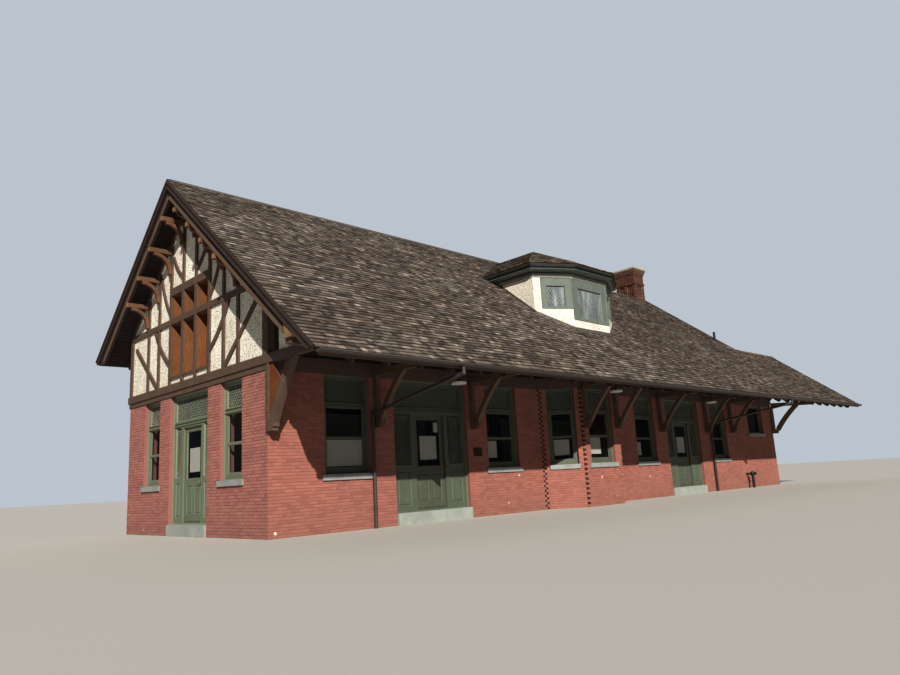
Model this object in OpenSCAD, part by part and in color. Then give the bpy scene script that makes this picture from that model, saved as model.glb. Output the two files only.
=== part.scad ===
// Small brick railway station with a half-timbered gable, a canted bay,
// a dormer and a deep bracketed eave along the front.
// Built in millimetres. The near front corner of the walls is the working point:
// x runs along the front, y runs back into the building, z is up.

/* [Walls] */
// Length of the front wall
wall_l = 25400; // [24500:100:26500]
// Depth of the main part
wall_d = 7600; // [7200:100:8000]
// Thickness of the brick walls
wall_t = 330; // [280:10:380]
// Height of the brickwork, to the underside of the sill beam
brick_h = 3430; // [3300:10:3600]
// Height of the sill beam that runs round the building
beam_h = 320; // [220:10:340]
// How far the sill beam stands out from the bricks
beam_out = 60; // [40:5:80]
// Height of the floor and of the door steps
floor_h = 270; // [200:10:300]
// Height of the window openings above the ground
sill_z = 1230; // [1100:10:1300]
// Thickness of the plastered walls above the beam
upper_t = 150; // [120:10:180]

/* [Low wing] */
// Where the outer face of the main part's far end wall stands
main_end_x = 23400; // [23200:50:23450]
// Depth of the low wing
wing_d = 2400; // [2200:50:2600]

/* [Roof] */
// Height of the main ridge
ridge_z = 8860; // [8700:20:9000]
// Height of the roof's edge along the front
eave_z = 3380; // [3300:20:3450]
// Overhang along the front
front_oh = 2800; // [2600:50:2900]
// Overhang along the back
back_oh = 920; // [860:20:1100]
// Overhang of the verge past the gable
verge_oh = 670; // [600:10:750]
// Upright thickness of the roof boards and shingles
roof_t = 150; // [120:10:180]
// Run along x of the far end's hip and verge for each unit of y
hip_run = 0.35; // [0.3:0.01:0.4]
// Start of the low wing's ridge
wing_ridge_x0 = 23250; // [23100:50:23300]
// End of the low wing's ridge
wing_ridge_x1 = 27250; // [27000:50:27400]
// Distance of the low wing's ridge from the front wall's face
wing_ridge_y = 270; // [200:10:350]

/* [Canted bay] */
// Middle of the bay along the front
bay_x = 10650; // [10500:10:10800]
// Width of the bay's front face
bay_w = 1840; // [1700:20:2000]
// How far the bay stands out
bay_out = 850; // [700:10:950]

/* [Windows and doors] */
// Width of the front windows
window_w = 1250; // [1100:10:1300]
// Width of the gable windows
gable_window_w = 1000; // [900:10:1060]
// Depth of the frames behind the wall's face
reveal = 110; // [90:5:130]
// Width of the front door openings
door_w = 2450; // [2350:10:2500]
// Width of the gable door opening
gable_door_w = 2090; // [2050:10:2150]
// Width of a door leaf
leaf_w = 1000; // [950:10:1020]
// Top of a door leaf above the ground
leaf_top = 2610; // [2550:10:2650]

/* [Dormer] */
// Middle of the dormer along the front
dormer_x = 11350; // [11200:10:11500]
// Distance of the dormer's front from the wall's face, towards the street
dormer_out = 440; // [350:10:550]
// Width of the dormer's front face
dormer_w = 1900; // [1800:10:2000]
// Height of the dormer walls' top
dormer_top = 7050; // [6950:10:7150]

/* [Chimney] */
// Width of the chimney along the ridge
chimney_w = 760; // [640:20:860]
// Depth of the chimney across the ridge
chimney_d = 980; // [880:20:1080]
// Top of the chimney
chimney_top = 10100; // [9900:50:10300]

/* [Hidden] */
eps = 10;
overcut = 1;

// Roof planes: the height of each plane's top face
ridge_y = wall_d / 2;
pitch = (ridge_z - eave_z) / (ridge_y + front_oh);
function front_z(y) = ridge_z - pitch * (ridge_y - y);
function back_z(y) = ridge_z - pitch * (y - ridge_y);
wing_ridge_z = front_z(wing_ridge_y);
ridge_end_x = wing_ridge_x0 - hip_run * (ridge_y - wing_ridge_y);
function hip_z(x) = ridge_z - (x - ridge_end_x) * pitch / hip_run;
function wing_back_z(y) = wing_ridge_z - pitch * (y - wing_ridge_y);
corner_x = wing_ridge_x1 + hip_run * (wing_ridge_y + front_oh);
back_eave_y = wall_d + back_oh;
back_eave_z = back_z(back_eave_y);
main_eave_x = ridge_end_x + hip_run * (back_eave_y - ridge_y);
valley_y = wing_ridge_y + (wing_ridge_z - back_eave_z) / pitch;
wing_back_y = 2 * wing_ridge_y + front_oh;
bargeboard_t = 60;
slab_x0 = bargeboard_t - verge_oh;
beam_top = brick_h + beam_h;
// Depth at which the parts under a roof slab stop, just short of its underside
seat = 1;
roof_under = roof_t + seat;

// The whole thing is moved so that the middle of its outline is the origin
gutter_r = 65;
gutter_out = 2 * gutter_r;
min_x = -verge_oh;
max_x = corner_x + gutter_out;
min_y = -front_oh - gutter_out;
max_y = back_eave_y + gutter_out;
module place() {
    translate([-(min_x + max_x) / 2, -(min_y + max_y) / 2, 0]) children();
}

// A shape drawn in (x, z) and given a thickness along y
module upright(y, t) {
    translate([0, y + t, 0]) rotate([90, 0, 0]) linear_extrude(t) children();
}
// A shape drawn in (y, z) and given a length along x
module along(x, length) {
    translate([x, 0, 0]) rotate([90, 0, 90]) linear_extrude(length) children();
}
module block(low, high) {
    translate(low) cube(high - low);
}

// Openings along the front wall
bay_x0 = bay_x - bay_w / 2 - bay_out;
bay_x1 = bay_x + bay_w / 2 + bay_out;
door_x = [3340, 16030];
window_x = [1380, 6550, 13950, 19500];
small_window_x = 22900;
small_window_w = 1500;
small_window_z = 2230;
bracket_x = [2800, 5980, 15560, 19000, 21150];
gable_door_y = ridge_y - gable_door_w / 2;
gable_window_y = [1100, wall_d - 1100 - gable_window_w];
rear_window_x = [1600, 4700, 7800, 10900, 14000, 17100, 20200];

// A wall drawn flat from its left end, notched from the top for each window
module notched_wall(x0, x1, notches, z = sill_z) {
    difference() {
        translate([x0, 0]) square([x1 - x0, brick_h]);
        for (n = notches) translate([n[0], z]) square([n[1], brick_h]);
    }
}
module front_wall(x0, x1, notches) {
    color("firebrick") upright(0, wall_t) notched_wall(x0, x1, notches);
}
module front_wall_left() {
    front_wall(0, door_x[0], [[window_x[0], window_w]]);
}
module front_wall_mid_left() {
    front_wall(door_x[0] + door_w, bay_x0, [[window_x[1], window_w]]);
}
module front_wall_mid_right() {
    front_wall(bay_x1, door_x[1], [[window_x[2], window_w]]);
}
module front_wall_right() {
    color("firebrick") upright(0, wall_t) difference() {
        notched_wall(door_x[1] + door_w, wall_l, [[window_x[3], window_w]]);
        translate([small_window_x, small_window_z]) square([small_window_w, brick_h]);
    }
}

// Canted bay: its plan between the outer face and the inner face
bay_in = wall_t * sqrt(2);
bay_front_in = wall_t * (sqrt(2) - 1);
bay_outer = [
    [bay_x0, 0], [bay_x0 + bay_out, -bay_out], [bay_x1 - bay_out, -bay_out], [bay_x1, 0]
];
bay_inner = [
    [bay_x1 - bay_in, 0], [bay_x1 - bay_out - bay_front_in, wall_t - bay_out],
    [bay_x0 + bay_out + bay_front_in, wall_t - bay_out], [bay_x0 + bay_in, 0]
];
module bay_plan() {
    polygon(concat(
        [[bay_x0, wall_t]], bay_outer, [[bay_x1, wall_t], [bay_x1 - bay_in, wall_t]],
        bay_inner, [[bay_x0 + bay_in, wall_t]]
    ));
}
// Puts a shape drawn on the front wall's plane onto a cant of the bay, side -1 or 1
cant_l = bay_out * sqrt(2);
module on_cant(side) {
    translate([bay_x, -bay_out, 0]) scale_x(side) translate([bay_w / 2, 0, 0])
        rotate([0, 0, 45]) children();
}
module scale_x(side) {
    if (side < 0) mirror([1, 0, 0]) children();
    else children();
}
cant_window_w = 820;
bay_front_window_w = 1250;
module bay_wall() {
    color("firebrick") difference() {
        linear_extrude(brick_h) bay_plan();
        translate([bay_x - bay_front_window_w / 2, -bay_out - eps, sill_z])
            cube([bay_front_window_w, wall_t + 2 * eps, brick_h]);
        for (side = [-1, 1]) on_cant(side)
            translate([(cant_l - cant_window_w) / 2, -eps, sill_z])
                cube([cant_window_w, wall_t + 2 * eps, brick_h]);
    }
}

module gable_wall_near() {
    color("indianred") along(0, wall_t) difference() {
        translate([wall_t, 0]) square([gable_door_y - wall_t, brick_h]);
        translate([gable_window_y[0], sill_z]) square([gable_window_w, brick_h]);
    }
}
module gable_wall_far() {
    color("indianred") along(0, wall_t) difference() {
        translate([gable_door_y + gable_door_w, 0])
            square([wall_d - gable_door_y - gable_door_w, brick_h]);
        translate([gable_window_y[1], sill_z]) square([gable_window_w, brick_h]);
    }
}
module back_wall() {
    color("firebrick") upright(wall_d - wall_t, wall_t)
        notched_wall(wall_t, main_end_x, [for (x = rear_window_x) [x, window_w]]);
}
// The far end: the main part's end wall and the low wing's back and end walls
end_inner_x = main_end_x - wall_t;
wing_inner_x = wall_l - wall_t;
wing_inner_y = wing_d - wall_t;
main_end_window_y = 4300;
module end_walls() {
    color("firebrick") difference() {
        linear_extrude(brick_h) polygon([
            [end_inner_x, wall_d - wall_t], [main_end_x, wall_d - wall_t], [main_end_x, wing_d],
            [wall_l, wing_d], [wall_l, wall_t], [wing_inner_x, wall_t],
            [wing_inner_x, wing_inner_y], [end_inner_x, wing_inner_y]
        ]);
        block([end_inner_x - eps, main_end_window_y, sill_z],
            [main_end_x + eps, main_end_window_y + window_w, brick_h + eps]);
    }
}
module floor_slab() {
    color("dimgray") linear_extrude(floor_h) polygon(concat(
        [[wall_t, wall_t]],
        [[bay_x0 + bay_in, wall_t], bay_inner[3], bay_inner[2], bay_inner[1], bay_inner[0],
         [bay_x1 - bay_in, wall_t]],
        [[wing_inner_x, wall_t], [wing_inner_x, wing_inner_y], [end_inner_x, wing_inner_y],
         [end_inner_x, wall_d - wall_t], [wall_t, wall_d - wall_t]]
    ));
}

// Sill beam: a beam over a smaller moulding, drawn as a plan grown by its projection
moulding_h = 130;
module beam_section(out_low, out_high) {
    translate([0, 0, brick_h]) linear_extrude(moulding_h) children(0);
    translate([0, 0, brick_h + moulding_h]) linear_extrude(beam_h - moulding_h) children(1);
}
module front_beam_plan(out) {
    polygon(concat(
        [[wall_t, wall_t], [wall_t, -out], [bay_x0 - out / 2, -out],
         [bay_x0 + bay_out - out / 2, -bay_out - out],
         [bay_x1 - bay_out + out / 2, -bay_out - out], [bay_x1 + out / 2, -out],
         [wall_l + out, -out], [wall_l + out, wall_t], [bay_x1 - bay_in, wall_t]],
        bay_inner, [[bay_x0 + bay_in, wall_t]]
    ));
}
module sill_beam_front() {
    color("saddlebrown") beam_section() {
        front_beam_plan(beam_out / 2);
        front_beam_plan(beam_out);
    }
}
module gable_beam_plan(out) {
    translate([-out, -out]) square([wall_t + out, wall_d + 2 * out]);
}
module sill_beam_gable() {
    color("saddlebrown") beam_section() {
        gable_beam_plan(beam_out / 2);
        gable_beam_plan(beam_out);
    }
}
module rear_beam_plan(out) {
    polygon([
        [wall_t, wall_d - wall_t], [wall_t, wall_d + out], [main_end_x + out, wall_d + out],
        [main_end_x + out, wing_back_y + eps], [main_end_x, wing_back_y + eps],
        [main_end_x, wing_d + out], [wall_l + out, wing_d + out], [wall_l + out, wall_t],
        [wing_inner_x, wall_t], [wing_inner_x, wing_inner_y], [end_inner_x, wing_inner_y],
        [end_inner_x, wall_d - wall_t]
    ]);
}
module sill_beam_rear() {
    color("saddlebrown") beam_section() {
        rear_beam_plan(beam_out / 2);
        rear_beam_plan(beam_out);
    }
}

// Walls above the beam, up to the underside of the roof: boards in front, plaster behind
module upper_wall_front() {
    color("#3b2a20") intersection() {
        translate([0, 0, beam_top]) linear_extrude(ridge_z) difference() {
            polygon(concat(
                [[upper_t, upper_t], [upper_t, 0]], bay_outer,
                [[wall_l - upper_t, 0], [wall_l - upper_t, upper_t]]
            ));
            offset_bay();
        }
        along(0, wall_l) polygon([
            [-bay_out - eps, 0], [upper_t + eps, 0],
            [upper_t + eps, front_z(upper_t + eps) - roof_under],
            [-bay_out - eps, front_z(-bay_out - eps) - roof_under]
        ]);
    }
}
module offset_bay() {
    t = upper_t * (sqrt(2) - 1);
    polygon([
        [bay_x0 + upper_t * sqrt(2), upper_t + eps], [bay_x0 + upper_t * sqrt(2), 0],
        [bay_x0 + bay_out + t, upper_t - bay_out], [bay_x1 - bay_out - t, upper_t - bay_out],
        [bay_x1 - upper_t * sqrt(2), 0], [bay_x1 - upper_t * sqrt(2), upper_t + eps]
    ]);
}
end_upper_z = hip_z(main_end_x) - roof_under;
module upper_wall_rear() {
    color("wheat") {
        along(upper_t, main_end_x - 2 * upper_t) polygon([
            [wall_d - upper_t, beam_top], [wall_d, beam_top],
            [wall_d, back_z(wall_d) - roof_under],
            [wall_d - upper_t, back_z(wall_d - upper_t) - roof_under]
        ]);
        block([main_end_x - upper_t, upper_t, beam_top], [main_end_x, wall_d, end_upper_z]);
        along(main_end_x, wall_l - main_end_x) polygon([
            [wing_d - upper_t, beam_top], [wing_d, beam_top],
            [wing_d, wing_back_z(wing_d) - roof_under],
            [wing_d - upper_t, wing_back_z(wing_d - upper_t) - roof_under]
        ]);
        along(wall_l - upper_t, upper_t) polygon([
            [0, beam_top], [wing_d, beam_top], [wing_d, wing_back_z(wing_d) - roof_under],
            [wing_ridge_y, wing_ridge_z - roof_under], [0, front_z(0) - roof_under]
        ]);
    }
}

// Half-timbering. Drawn flat: u is the distance along the wall, v the height
post_w = 150;
stud_w = 110;
thin_w = 90;
timber_t = 45;
module post(u, v0, v1, w = stud_w) {
    translate([u - w / 2, v0]) square([w, v1 - v0]);
}
module rail(u0, u1, v, h) {
    translate([u0, v]) square([u1 - u0, h]);
}
// A straight brace between two points
module brace(p, q, w = stud_w) {
    length = norm(q - p);
    translate(p) rotate(atan2(q[1] - p[1], q[0] - p[0])) translate([0, -w / 2]) square([length, w]);
}
// A curved brace between two points; bow is its rise from the straight line
module curved_brace(p, q, bow, w = stud_w, steps = 10) {
    length = norm(q - p);
    radius = (length * length / 4 + bow * bow) / (2 * abs(bow));
    half = asin(length / 2 / radius);
    side = bow > 0 ? 1 : -1;
    arc = [for (i = [0 : steps]) -half + 2 * half * i / steps];
    translate(p) rotate(atan2(q[1] - p[1], q[0] - p[0])) polygon(concat(
        [for (a = arc) [length / 2 + (radius + w / 2) * sin(a),
            side * (abs(bow) - radius + (radius + w / 2) * cos(a))]],
        [for (i = [steps : -1 : 0]) [length / 2 + (radius - w / 2) * sin(arc[i]),
            side * (abs(bow) - radius + (radius - w / 2) * cos(arc[i]))]]
    ));
}
module mirror_u(middle) {
    children();
    translate([2 * middle, 0]) mirror([1, 0]) children();
}

collar_z = 5330;
collar_h = 150;
upper_rail_z = 6110;
upper_rail_h = 200;
louvre_sill_z = 3950;
louvre_half = 1060;
louvre_post_u = [-370, 370];
louvre_post_w = 130;
module gable_outline(t = roof_under) {
    polygon([
        [0, beam_top], [wall_d, beam_top], [wall_d, back_z(wall_d) - t],
        [ridge_y, ridge_z - t], [0, front_z(0) - t]
    ]);
}
module louvre_openings() {
    translate([ridge_y - louvre_half, louvre_sill_z])
        square([2 * louvre_half, collar_z - louvre_sill_z]);
    translate([ridge_y - louvre_half, collar_z + collar_h])
        square([2 * louvre_half, upper_rail_z - collar_z - collar_h]);
}
infill_t = 60;
corner_gap_y = -450;
tie_end_y = -2100;
module gable_stucco() {
    color("wheat") {
        along(0, upper_t) difference() {
            gable_outline();
            louvre_openings();
        }
        along(0, infill_t) polygon([
            [corner_gap_y, beam_top], [corner_gap_y, front_z(corner_gap_y) - roof_under],
            [purlin_y + purlin_w, front_z(purlin_y + purlin_w) - roof_under],
            [purlin_y + purlin_w, beam_top]
        ]);
    }
}
rake_h = 170;
module rake_post() {
    polygon([
        [0, front_z(0) - roof_under], [ridge_y, ridge_z - roof_under],
        [ridge_y, ridge_z - roof_under - rake_h], [0, front_z(0) - roof_under - rake_h]
    ]);
}
module half_timbers() {
    post(post_w / 2, beam_top, front_z(post_w), post_w);
    post(ridge_y - 2550, beam_top, front_z(1300), stud_w);
    post(ridge_y - 1850, beam_top, collar_z + 500, stud_w);
    post(ridge_y - louvre_half - stud_w / 2, beam_top, ridge_z, stud_w);
    post(ridge_y - 370, upper_rail_z + upper_rail_h, ridge_z, stud_w);
    post(ridge_y - 1850, collar_z, 6900, thin_w);
    brace([380, 5060], [ridge_y - 1930, beam_top + 40]);
    curved_brace([1700, collar_z], [ridge_y - louvre_half - 60, beam_top + 520], -90);
    curved_brace([2050, 6750], [ridge_y - louvre_half - 60, collar_z + 260], -80, thin_w);
    curved_brace([2800, 7150], [ridge_y - 420, upper_rail_z + 380], -60, thin_w);
    rake_post();
}
module gable_timbers() {
    color("sienna") along(-timber_t, timber_t) intersection() {
        gable_outline();
        union() {
            mirror_u(ridge_y) half_timbers();
            rail(0, wall_d, collar_z, collar_h);
            rail(ridge_y - louvre_half - stud_w, ridge_y + louvre_half + stud_w,
                upper_rail_z, upper_rail_h);
            rail(ridge_y - louvre_half, ridge_y + louvre_half, louvre_sill_z - 60, 60);
            for (u = louvre_post_u) post(ridge_y + u, beam_top, upper_rail_z, louvre_post_w);
        }
    }
}
// Deep board-lined boxes behind the louvre openings, three cells side by side in each
louvre_d = 250;
board_t = 25;
module gable_boards() {
    color("peru") difference() {
        along(0, louvre_d + board_t) louvre_openings();
        for (low = [louvre_sill_z, collar_z + collar_h], i = [0 : 2]) {
            y0 = i == 0 ? board_t - louvre_half : louvre_post_u[i - 1] + louvre_post_w / 2;
            y1 = i == 2 ? louvre_half - board_t : louvre_post_u[i] - louvre_post_w / 2;
            high = low == louvre_sill_z ? collar_z : upper_rail_z;
            block([-1, ridge_y + y0, low + board_t], [louvre_d, ridge_y + y1, high - board_t]);
        }
    }
}
module rear_timbers() {
    color("sienna") translate([0, wall_d, 0]) upright(0, timber_t) {
        top = back_z(wall_d + timber_t) - roof_under;
        rail(wall_t, ridge_end_x + hip_run * (wall_d - ridge_y), top - 140, 140);
        for (i = [0 : 15]) post(wall_t + 80 + i * 1520, beam_top, top, stud_w);
    }
}

// Bargeboards: a deep outer board and a smaller one behind it, cut level at their feet
front_foot_z = eave_z - 10;
back_foot_z = back_eave_z - 150;
module rake_band(low, high, front_y = -front_oh) {
    difference() {
        polygon([
            [front_y, front_z(front_y) - high], [ridge_y, ridge_z - high],
            [back_eave_y, back_eave_z - high], [back_eave_y, back_eave_z - low],
            [ridge_y, ridge_z - low], [front_y, front_z(front_y) - low]
        ]);
        translate([-front_oh - eps, 0]) square([front_oh, front_foot_z]);
        translate([ridge_y, 0]) square([back_eave_y, back_foot_z]);
    }
}
inner_board_t = 70;
inner_board_low = 520;
module bargeboards() {
    color("#4a3529") {
        along(-verge_oh, bargeboard_t) rake_band(250, 20);
        along(slab_x0, inner_board_t) rake_band(inner_board_low, roof_under, purlin_y + purlin_w + 1);
    }
}
// Lookout brackets on the studs, under the inner board: an arm on a quarter-round brace
lookout_l = 640;
lookout_h = 115;
lookout_u = [370, 1115, 1850, 2550];
lookout_r = 480;
lookout_brace_w = 85;
module lookout(y) {
    upright(y - stud_w / 2, stud_w) union() {
        translate([-lookout_l, -lookout_h]) square([lookout_l - timber_t, lookout_h]);
        translate([-timber_t - lookout_r, -lookout_h + 10 - lookout_r]) intersection() {
            difference() {
                circle(r = lookout_r, $fn = 64);
                circle(r = lookout_r - lookout_brace_w, $fn = 64);
            }
            square(lookout_r);
        }
        translate([-timber_t - lookout_brace_w, -lookout_h - 60 - lookout_r])
            square([lookout_brace_w, 75]);
    }
}
module verge_brackets() {
    color("sienna") for (u = lookout_u, side = [-1, 1]) {
        y = ridge_y + side * u;
        top = ridge_z - pitch * (u + stud_w / 2) - inner_board_low - seat;
        translate([0, 0, top]) lookout(y);
    }
}

// Roof slabs: a sloping strip cut to the plan of its plane
module clip_plan(points) {
    intersection() {
        children();
        linear_extrude(chimney_top) polygon(points);
    }
}
chimney_back = 640;
chimney_x = ridge_end_x - chimney_w - chimney_back;
module chimney_hole() {
    block([chimney_x, ridge_y - chimney_d / 2, ridge_z - 1200],
        [chimney_x + chimney_w, ridge_y + chimney_d / 2, ridge_z + 10]);
}
module roof_front() {
    color("rosybrown") difference() {
        clip_plan([
            [slab_x0, ridge_y], [ridge_end_x, ridge_y], [wing_ridge_x0, wing_ridge_y],
            [wing_ridge_x1, wing_ridge_y], [corner_x, -front_oh], [slab_x0, -front_oh]
        ]) along(slab_x0, corner_x - slab_x0) polygon([
            [-front_oh, front_z(-front_oh)], [ridge_y, ridge_z],
            [ridge_y, ridge_z - roof_t], [-front_oh, front_z(-front_oh) - roof_t]
        ]);
        chimney_hole();
        dormer_hole();
    }
}
module roof_back() {
    color("rosybrown") difference() {
        clip_plan([
            [slab_x0, ridge_y], [ridge_end_x, ridge_y], [main_eave_x, back_eave_y],
            [slab_x0, back_eave_y]
        ]) along(slab_x0, main_eave_x - slab_x0) polygon([
            [ridge_y, ridge_z], [back_eave_y, back_eave_z],
            [back_eave_y, back_eave_z - roof_t], [ridge_y, ridge_z - roof_t]
        ]);
        chimney_hole();
    }
}
module roof_hip() {
    color("rosybrown") clip_plan([
        [ridge_end_x, ridge_y], [wing_ridge_x0, wing_ridge_y], [main_eave_x, valley_y],
        [main_eave_x, back_eave_y]
    ]) upright(0, back_eave_y) polygon([
        [ridge_end_x, ridge_z], [main_eave_x, back_eave_z],
        [main_eave_x, back_eave_z - roof_t], [ridge_end_x, ridge_z - roof_t]
    ]);
}
// The wing's back slope passes under the main hip's eave and stops at the end wall
module wing_roof_back() {
    tuck = 1 / hip_run;
    tuck_y = valley_y + roof_t / pitch + eps;
    color("rosybrown") clip_plan([
        [wing_ridge_x0, wing_ridge_y], [wing_ridge_x1, wing_ridge_y], [corner_x, wing_back_y],
        [main_end_x, wing_back_y], [main_end_x, tuck_y - tuck * (main_eave_x - main_end_x)],
        [main_eave_x, tuck_y], [main_eave_x, valley_y]
    ]) along(wing_ridge_x0, corner_x - wing_ridge_x0) polygon([
        [wing_ridge_y, wing_ridge_z], [wing_back_y, wing_back_z(wing_back_y)],
        [wing_back_y, wing_back_z(wing_back_y) - roof_t], [wing_ridge_y, wing_ridge_z - roof_t]
    ]);
}
// Folded caps that lie on the two ridges
cap_w = 130;
cap_t = 25;
module ridge_cap(x0, x1, y, z) {
    along(x0, x1 - x0) polygon([
        [y - cap_w, z - pitch * cap_w], [y, z], [y + cap_w, z - pitch * cap_w],
        [y + cap_w, z - pitch * cap_w + cap_t], [y, z + cap_t], [y - cap_w, z - pitch * cap_w + cap_t]
    ]);
}
module ridge_caps() {
    color("gray") {
        ridge_cap(slab_x0, chimney_x, ridge_y, ridge_z + seat);
        ridge_cap(wing_ridge_x0 + 100, wing_ridge_x1, wing_ridge_y, wing_ridge_z + seat);
    }
}

// Exposed rafters under the overhangs
rafter_w = 60;
rafter_h = 225;
rafter_step = 850;
rafter_in = 90;
rafter_x0 = 180;
tail_cut = 60;
// Radius and steps of the rounded lower corner of a front tail
tail_r = 80;
tail_steps = 5;
slope = atan(pitch);
// A front rafter from y_in out to the eave
module front_rafter(y_in) {
    y0 = -front_oh + rafter_in;
    under_z = front_z(y0 + tail_r) - roof_under - rafter_h + tail_r / cos(slope);
    polygon(concat(
        [[y0, front_z(y0) - roof_under], [y_in, front_z(y_in) - roof_under],
         [y_in, front_z(y_in) - roof_under - rafter_h]],
        [for (i = [0 : tail_steps]) let (a = 270 + slope - i * (90 + slope) / tail_steps)
            [y0 + tail_r + tail_r * cos(a), under_z + tail_r * sin(a)]]
    ));
}
module back_rafter(y0, y1) {
    polygon([
        [y0, -pitch * y0], [y1, -pitch * y1], [y1, -pitch * y1 - tail_cut],
        [y1 - tail_cut, -pitch * y1 - rafter_h + 50], [y0, -pitch * y0 - rafter_h]
    ]);
}
// Where a front rafter at x stops: at the far verge, under the ridge, at the bay or at the wall
function rafter_end(x) =
    x + rafter_w > wing_ridge_x1 ? wing_ridge_y - (x + rafter_w - wing_ridge_x1) / hip_run
    : x > wall_l ? wing_ridge_y
    : x > bay_x0 - rafter_w && x < bay_x1 ? -bay_out - eps
    : -eps;
function rafter_x(i) = rafter_x0 + i * rafter_step;
last_front = floor((wing_ridge_x1 + 700 - rafter_x0) / rafter_step);
last_back = floor((ridge_end_x + 1000 - rafter_x0) / rafter_step);
first_wing = ceil((main_end_x + 200 - rafter_x0) / rafter_step);
last_wing = floor((wing_ridge_x1 - rafter_w - rafter_x0) / rafter_step);
module rafter_tails() {
    color("#3b2a20") {
        for (i = [0 : last_front]) along(rafter_x(i), rafter_w) front_rafter(rafter_end(rafter_x(i)));
        translate([0, 0, floor(ridge_z + pitch * ridge_y - roof_under)]) for (i = [0 : last_back])
            along(rafter_x(i), rafter_w)
                back_rafter(wall_d + timber_t + eps, back_eave_y - rafter_in);
        translate([0, 0, floor(wing_ridge_z + pitch * wing_ridge_y - roof_under)])
            for (i = [first_wing : last_wing]) along(rafter_x(i), rafter_w) back_rafter(
                rafter_x(i) > wall_l ? wing_ridge_y : wing_d + beam_out + eps,
                wing_back_y - rafter_in);
    }
}
// Beam that lies on the brackets and carries the rafters
purlin_y = -1900;
purlin_w = 180;
purlin_z = 3600;
module eave_beam() {
    color("#3b2a20") along(slab_x0, corner_x - slab_x0 - 700) polygon([
        [purlin_y, purlin_z], [purlin_y + purlin_w, purlin_z],
        [purlin_y + purlin_w, front_z(purlin_y) - roof_under - rafter_h - seat],
        [purlin_y, front_z(purlin_y) - roof_under - rafter_h - seat]
    ]);
}

// Eave brackets: a wall post on a stepped block, an arm and a curved brace, open between
bracket_w = 120;
arm_h = 150;
arm_z = purlin_z - arm_h;
block_z = 2240;
post_d = 130;
brace_reach = 1080;
brace_w = 120;
// Drawn from the wall's face at u = 0 towards the street at -u
module bracket_profile(reach, block = 290, arm_from = beam_out, run = brace_reach, w = brace_w) {
    translate([-post_d, block_z + 180]) square([post_d, brick_h - block_z - 180]);
    translate([-post_d, brick_h - 1]) square([post_d - arm_from, arm_z + arm_h - brick_h + 1]);
    translate([-block, block_z + 80]) square([block, 110]);
    translate([50 - block, block_z]) square([block - 50, 81]);
    translate([-reach, arm_z]) square([reach - arm_from, arm_h]);
    curved_brace([-w - 90, block_z + 180], [-run, arm_z + 40], -50, w);
}
module eave_brackets() {
    wall_reach = purlin_w - purlin_y;
    color("#4a3529") {
        for (x = bracket_x) along(x - bracket_w / 2, bracket_w) bracket_profile(wall_reach);
        for (side = [-1, 1]) translate([bay_x + side * (bay_w / 2 - 100), -bay_out, 0])
            along(-bracket_w / 2, bracket_w) intersection() {
                bracket_profile(wall_reach - bay_out, 230);
                translate([bay_out - wall_reach, 0]) square([wall_reach - bay_out, ridge_z]);
            }
        translate([wall_l, 0, 0]) rotate([0, 0, 45]) along(-bracket_w / 2, bracket_w)
            bracket_profile(wall_reach * 0.9, 290, beam_out * sqrt(2) + seat, 1250, 180);
    }
}
// The near corner has a bigger bracket in line with the gable, with a tie beam and a
// curved board between the post and the brace
tie_z = brick_h + moulding_h;
corner_w = 150;
corner_post_d = 100;
foot_z = 2340;
module corner_bracket() {
    color("sienna") {
        along(-beam_out, corner_w) {
            translate([-corner_post_d, foot_z]) square([corner_post_d, brick_h - foot_z]);
            translate([-corner_post_d, foot_z])
                square([corner_post_d - beam_out, beam_top - foot_z + 1]);
            polygon([
                [-corner_post_d, beam_top], [0, beam_top], [0, front_z(0) - roof_t - 20],
                [-corner_post_d, front_z(-corner_post_d) - roof_t - 20]
            ]);
            difference() {
                translate([tie_end_y, tie_z]) square([-tie_end_y - beam_out, beam_top - tie_z]);
                translate([purlin_y - seat, purlin_z - seat])
                    square([purlin_w + 2 * seat, purlin_z]);
            }
            translate([-300, foot_z - 120]) square([300, 121]);
            translate([-260, foot_z - 200]) square([260, 81]);
            curved_brace([-225, foot_z], [-1020, tie_z + 40], -30, 170);
        }
        along(-10, 40) polygon([
            [-90, foot_z], [-90, tie_z + 5], [-170, tie_z - 10], [-270, tie_z - 60],
            [-370, tie_z - 170], [-450, tie_z - 290], [-530, tie_z - 420], [-560, tie_z - 480],
            [-230, foot_z]
        ]);
    }
}

// Half-round gutters on the two long eaves, with closed ends
gutter_t = 6;
module gutter(x0, x1, y, z) {
    along(x0, x1 - x0) translate([y, z]) gutter_section(gutter_r - gutter_t);
    for (x = [x0, x1 - gutter_t]) along(x, gutter_t) translate([y, z]) gutter_section(0);
}
module gutter_section(inner_r) {
    difference() {
        circle(r = gutter_r, $fn = 48);
        if (inner_r > 0) circle(r = inner_r, $fn = 48);
        translate([-gutter_r - 1, 0]) square([2 * gutter_r + 2, gutter_r + 1]);
    }
}
gutter_drop = 60;
gutter_y = -front_oh - gutter_r;
gutter_z = eave_z - gutter_drop;
module gutters() {
    color("#3d342d") {
        gutter(min_x, max_x, gutter_y, gutter_z);
        gutter(slab_x0, main_eave_x, back_eave_y + gutter_r, back_eave_z - gutter_drop);
    }
}
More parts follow.
